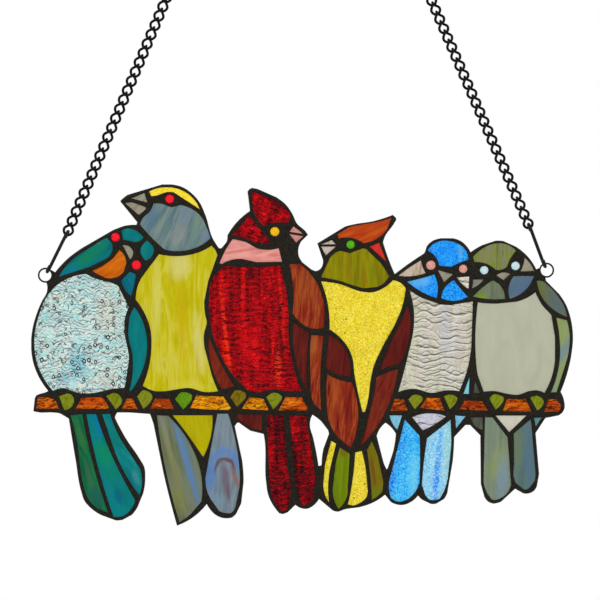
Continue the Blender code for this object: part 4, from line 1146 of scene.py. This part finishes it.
def make_ring_joint(node):
    """The solder between a ring and the leading, along the seat that the ring rests in."""
    middle = box_middle(node)
    centre = np.array([middle.x, middle.z])
    reach = RING_DIAMETER / 2
    seat = [point - centre for point in edge_loop if np.linalg.norm(point - centre) < reach + SEAT_MARGIN]
    toward = np.mean(seat, axis=0)
    base = math.atan2(toward[1], toward[0])
    turns = sorted(math.remainder(math.atan2(z, x) - base, 2 * math.pi) for x, z in seat)
    path = []
    radii = []
    for k in range(SOLDER_STEPS + 1):
        share = k / SOLDER_STEPS
        turn = base + turns[0] + (turns[-1] - turns[0]) * share
        path.append(middle + Vector((math.cos(turn), 0, math.sin(turn))) * reach)
        radii.append(SOLDER_THINNEST + SOLDER_SWELL * math.sin(math.pi * share) ** 0.5)
    mesh = wire_mesh(node + "_solder", [tube(path, radii, RING_SIDES, False)])
    add_piece(node + "_solder", mesh, lead_metal)


def make_chain(node):
    middle = box_middle(node)
    lean = lean_of(node)
    along = Vector((math.sin(lean), 0, math.cos(lean)))
    side = Vector((math.cos(lean), 0, -math.sin(lean)))
    tubes = []
    for k in range(LINK_COUNT):
        origin = middle + along * LINK_PITCH * (k - (LINK_COUNT - 1) / 2)
        path = link_points(origin, along, side, k == LINK_COUNT - 1)
        tubes.append(tube(path, [LINK_WIRE / 2] * LINK_POINTS, LINK_SIDES, True))
    mesh = wire_mesh(node + "_links", tubes)
    add_piece(node + "_links", mesh, chain_metal, [node])


def lean_of(node):
    """How far a hook or a chain leans from upright, in radians, from the corners of its solid."""
    co = np.array([vertex.co[:] for vertex in nodes[node].data.vertices])
    flat = co[:, ::2] - co[:, ::2].mean(axis=0)
    _, _, axes = np.linalg.svd(flat, full_matrices=False)
    x, z = axes[0] if axes[0][1] > 0 else -axes[0]
    return math.atan2(x, z)


def make_hangers():
    for side in ("left", "right"):
        make_ring(side + "_ring")
        make_ring_joint(side + "_ring")
        make_chain(side + "_chain")
        make_hook(side + "_ring_hook", RING_HOOK_WIRE, RING_HOOK_SPAN, RING_HOOK_RADIUS)
        make_hook(side + "_top_hook", TOP_HOOK_WIRE, TOP_HOOK_SPAN, TOP_HOOK_RADIUS)


make_leading()
for hole in sorted(hole_names):
    make_pane(hole)
make_hangers()
stay = nodes["stay_wire"]
stay.data.materials.clear()
stay.data.materials.append(lead_metal)


# Stage, light and camera

def make_stage():
    low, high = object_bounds()
    bpy.ops.mesh.primitive_plane_add(size=FLOOR_SIZE, location=(0, 0, low[2] - FLOOR_DROP))
    floor = bpy.context.object
    floor.name = "floor"
    made = Nodes("floor_pale")
    made.shader.inputs["Base Color"].default_value = FLOOR_TONE
    made.shader.inputs["Roughness"].default_value = 0.9
    floor.data.materials.append(made.material)


def make_light(name, place, size, power):
    light = bpy.data.lights.new(name, "AREA")
    light.size = size
    light.energy = power
    obj = bpy.data.objects.new(name, light)
    bpy.context.scene.collection.objects.link(obj)
    obj.location = place
    target = Vector((PHOTO_X, 0, PHOTO_Z))
    obj.rotation_euler = (target - obj.location).to_track_quat("-Z", "Y").to_euler()


def make_world():
    world = bpy.data.worlds.new("studio")
    world.use_nodes = True
    sky = world.node_tree.nodes["Background"]
    sky.inputs["Color"].default_value = (1, 1, 1, 1)
    sky.inputs["Strength"].default_value = 1.0
    bpy.context.scene.world = world
    bpy.context.scene.view_settings.view_transform = "Standard"


def make_camera():
    data = bpy.data.cameras.new("camera")
    data.sensor_width = SENSOR
    data.lens = SENSOR * CAMERA_DISTANCE / (PHOTO_SIZE * UNIT)
    camera = bpy.data.objects.new("camera", data)
    bpy.context.scene.collection.objects.link(camera)
    camera.location = (PHOTO_X, -CAMERA_DISTANCE, PHOTO_Z)
    camera.rotation_euler = (math.radians(90), 0, 0)
    bpy.context.scene.camera = camera


make_stage()
for light_name, (light_place, light_size, light_power) in LIGHTS.items():
    make_light(light_name, light_place, light_size, light_power)
make_world()
make_camera()
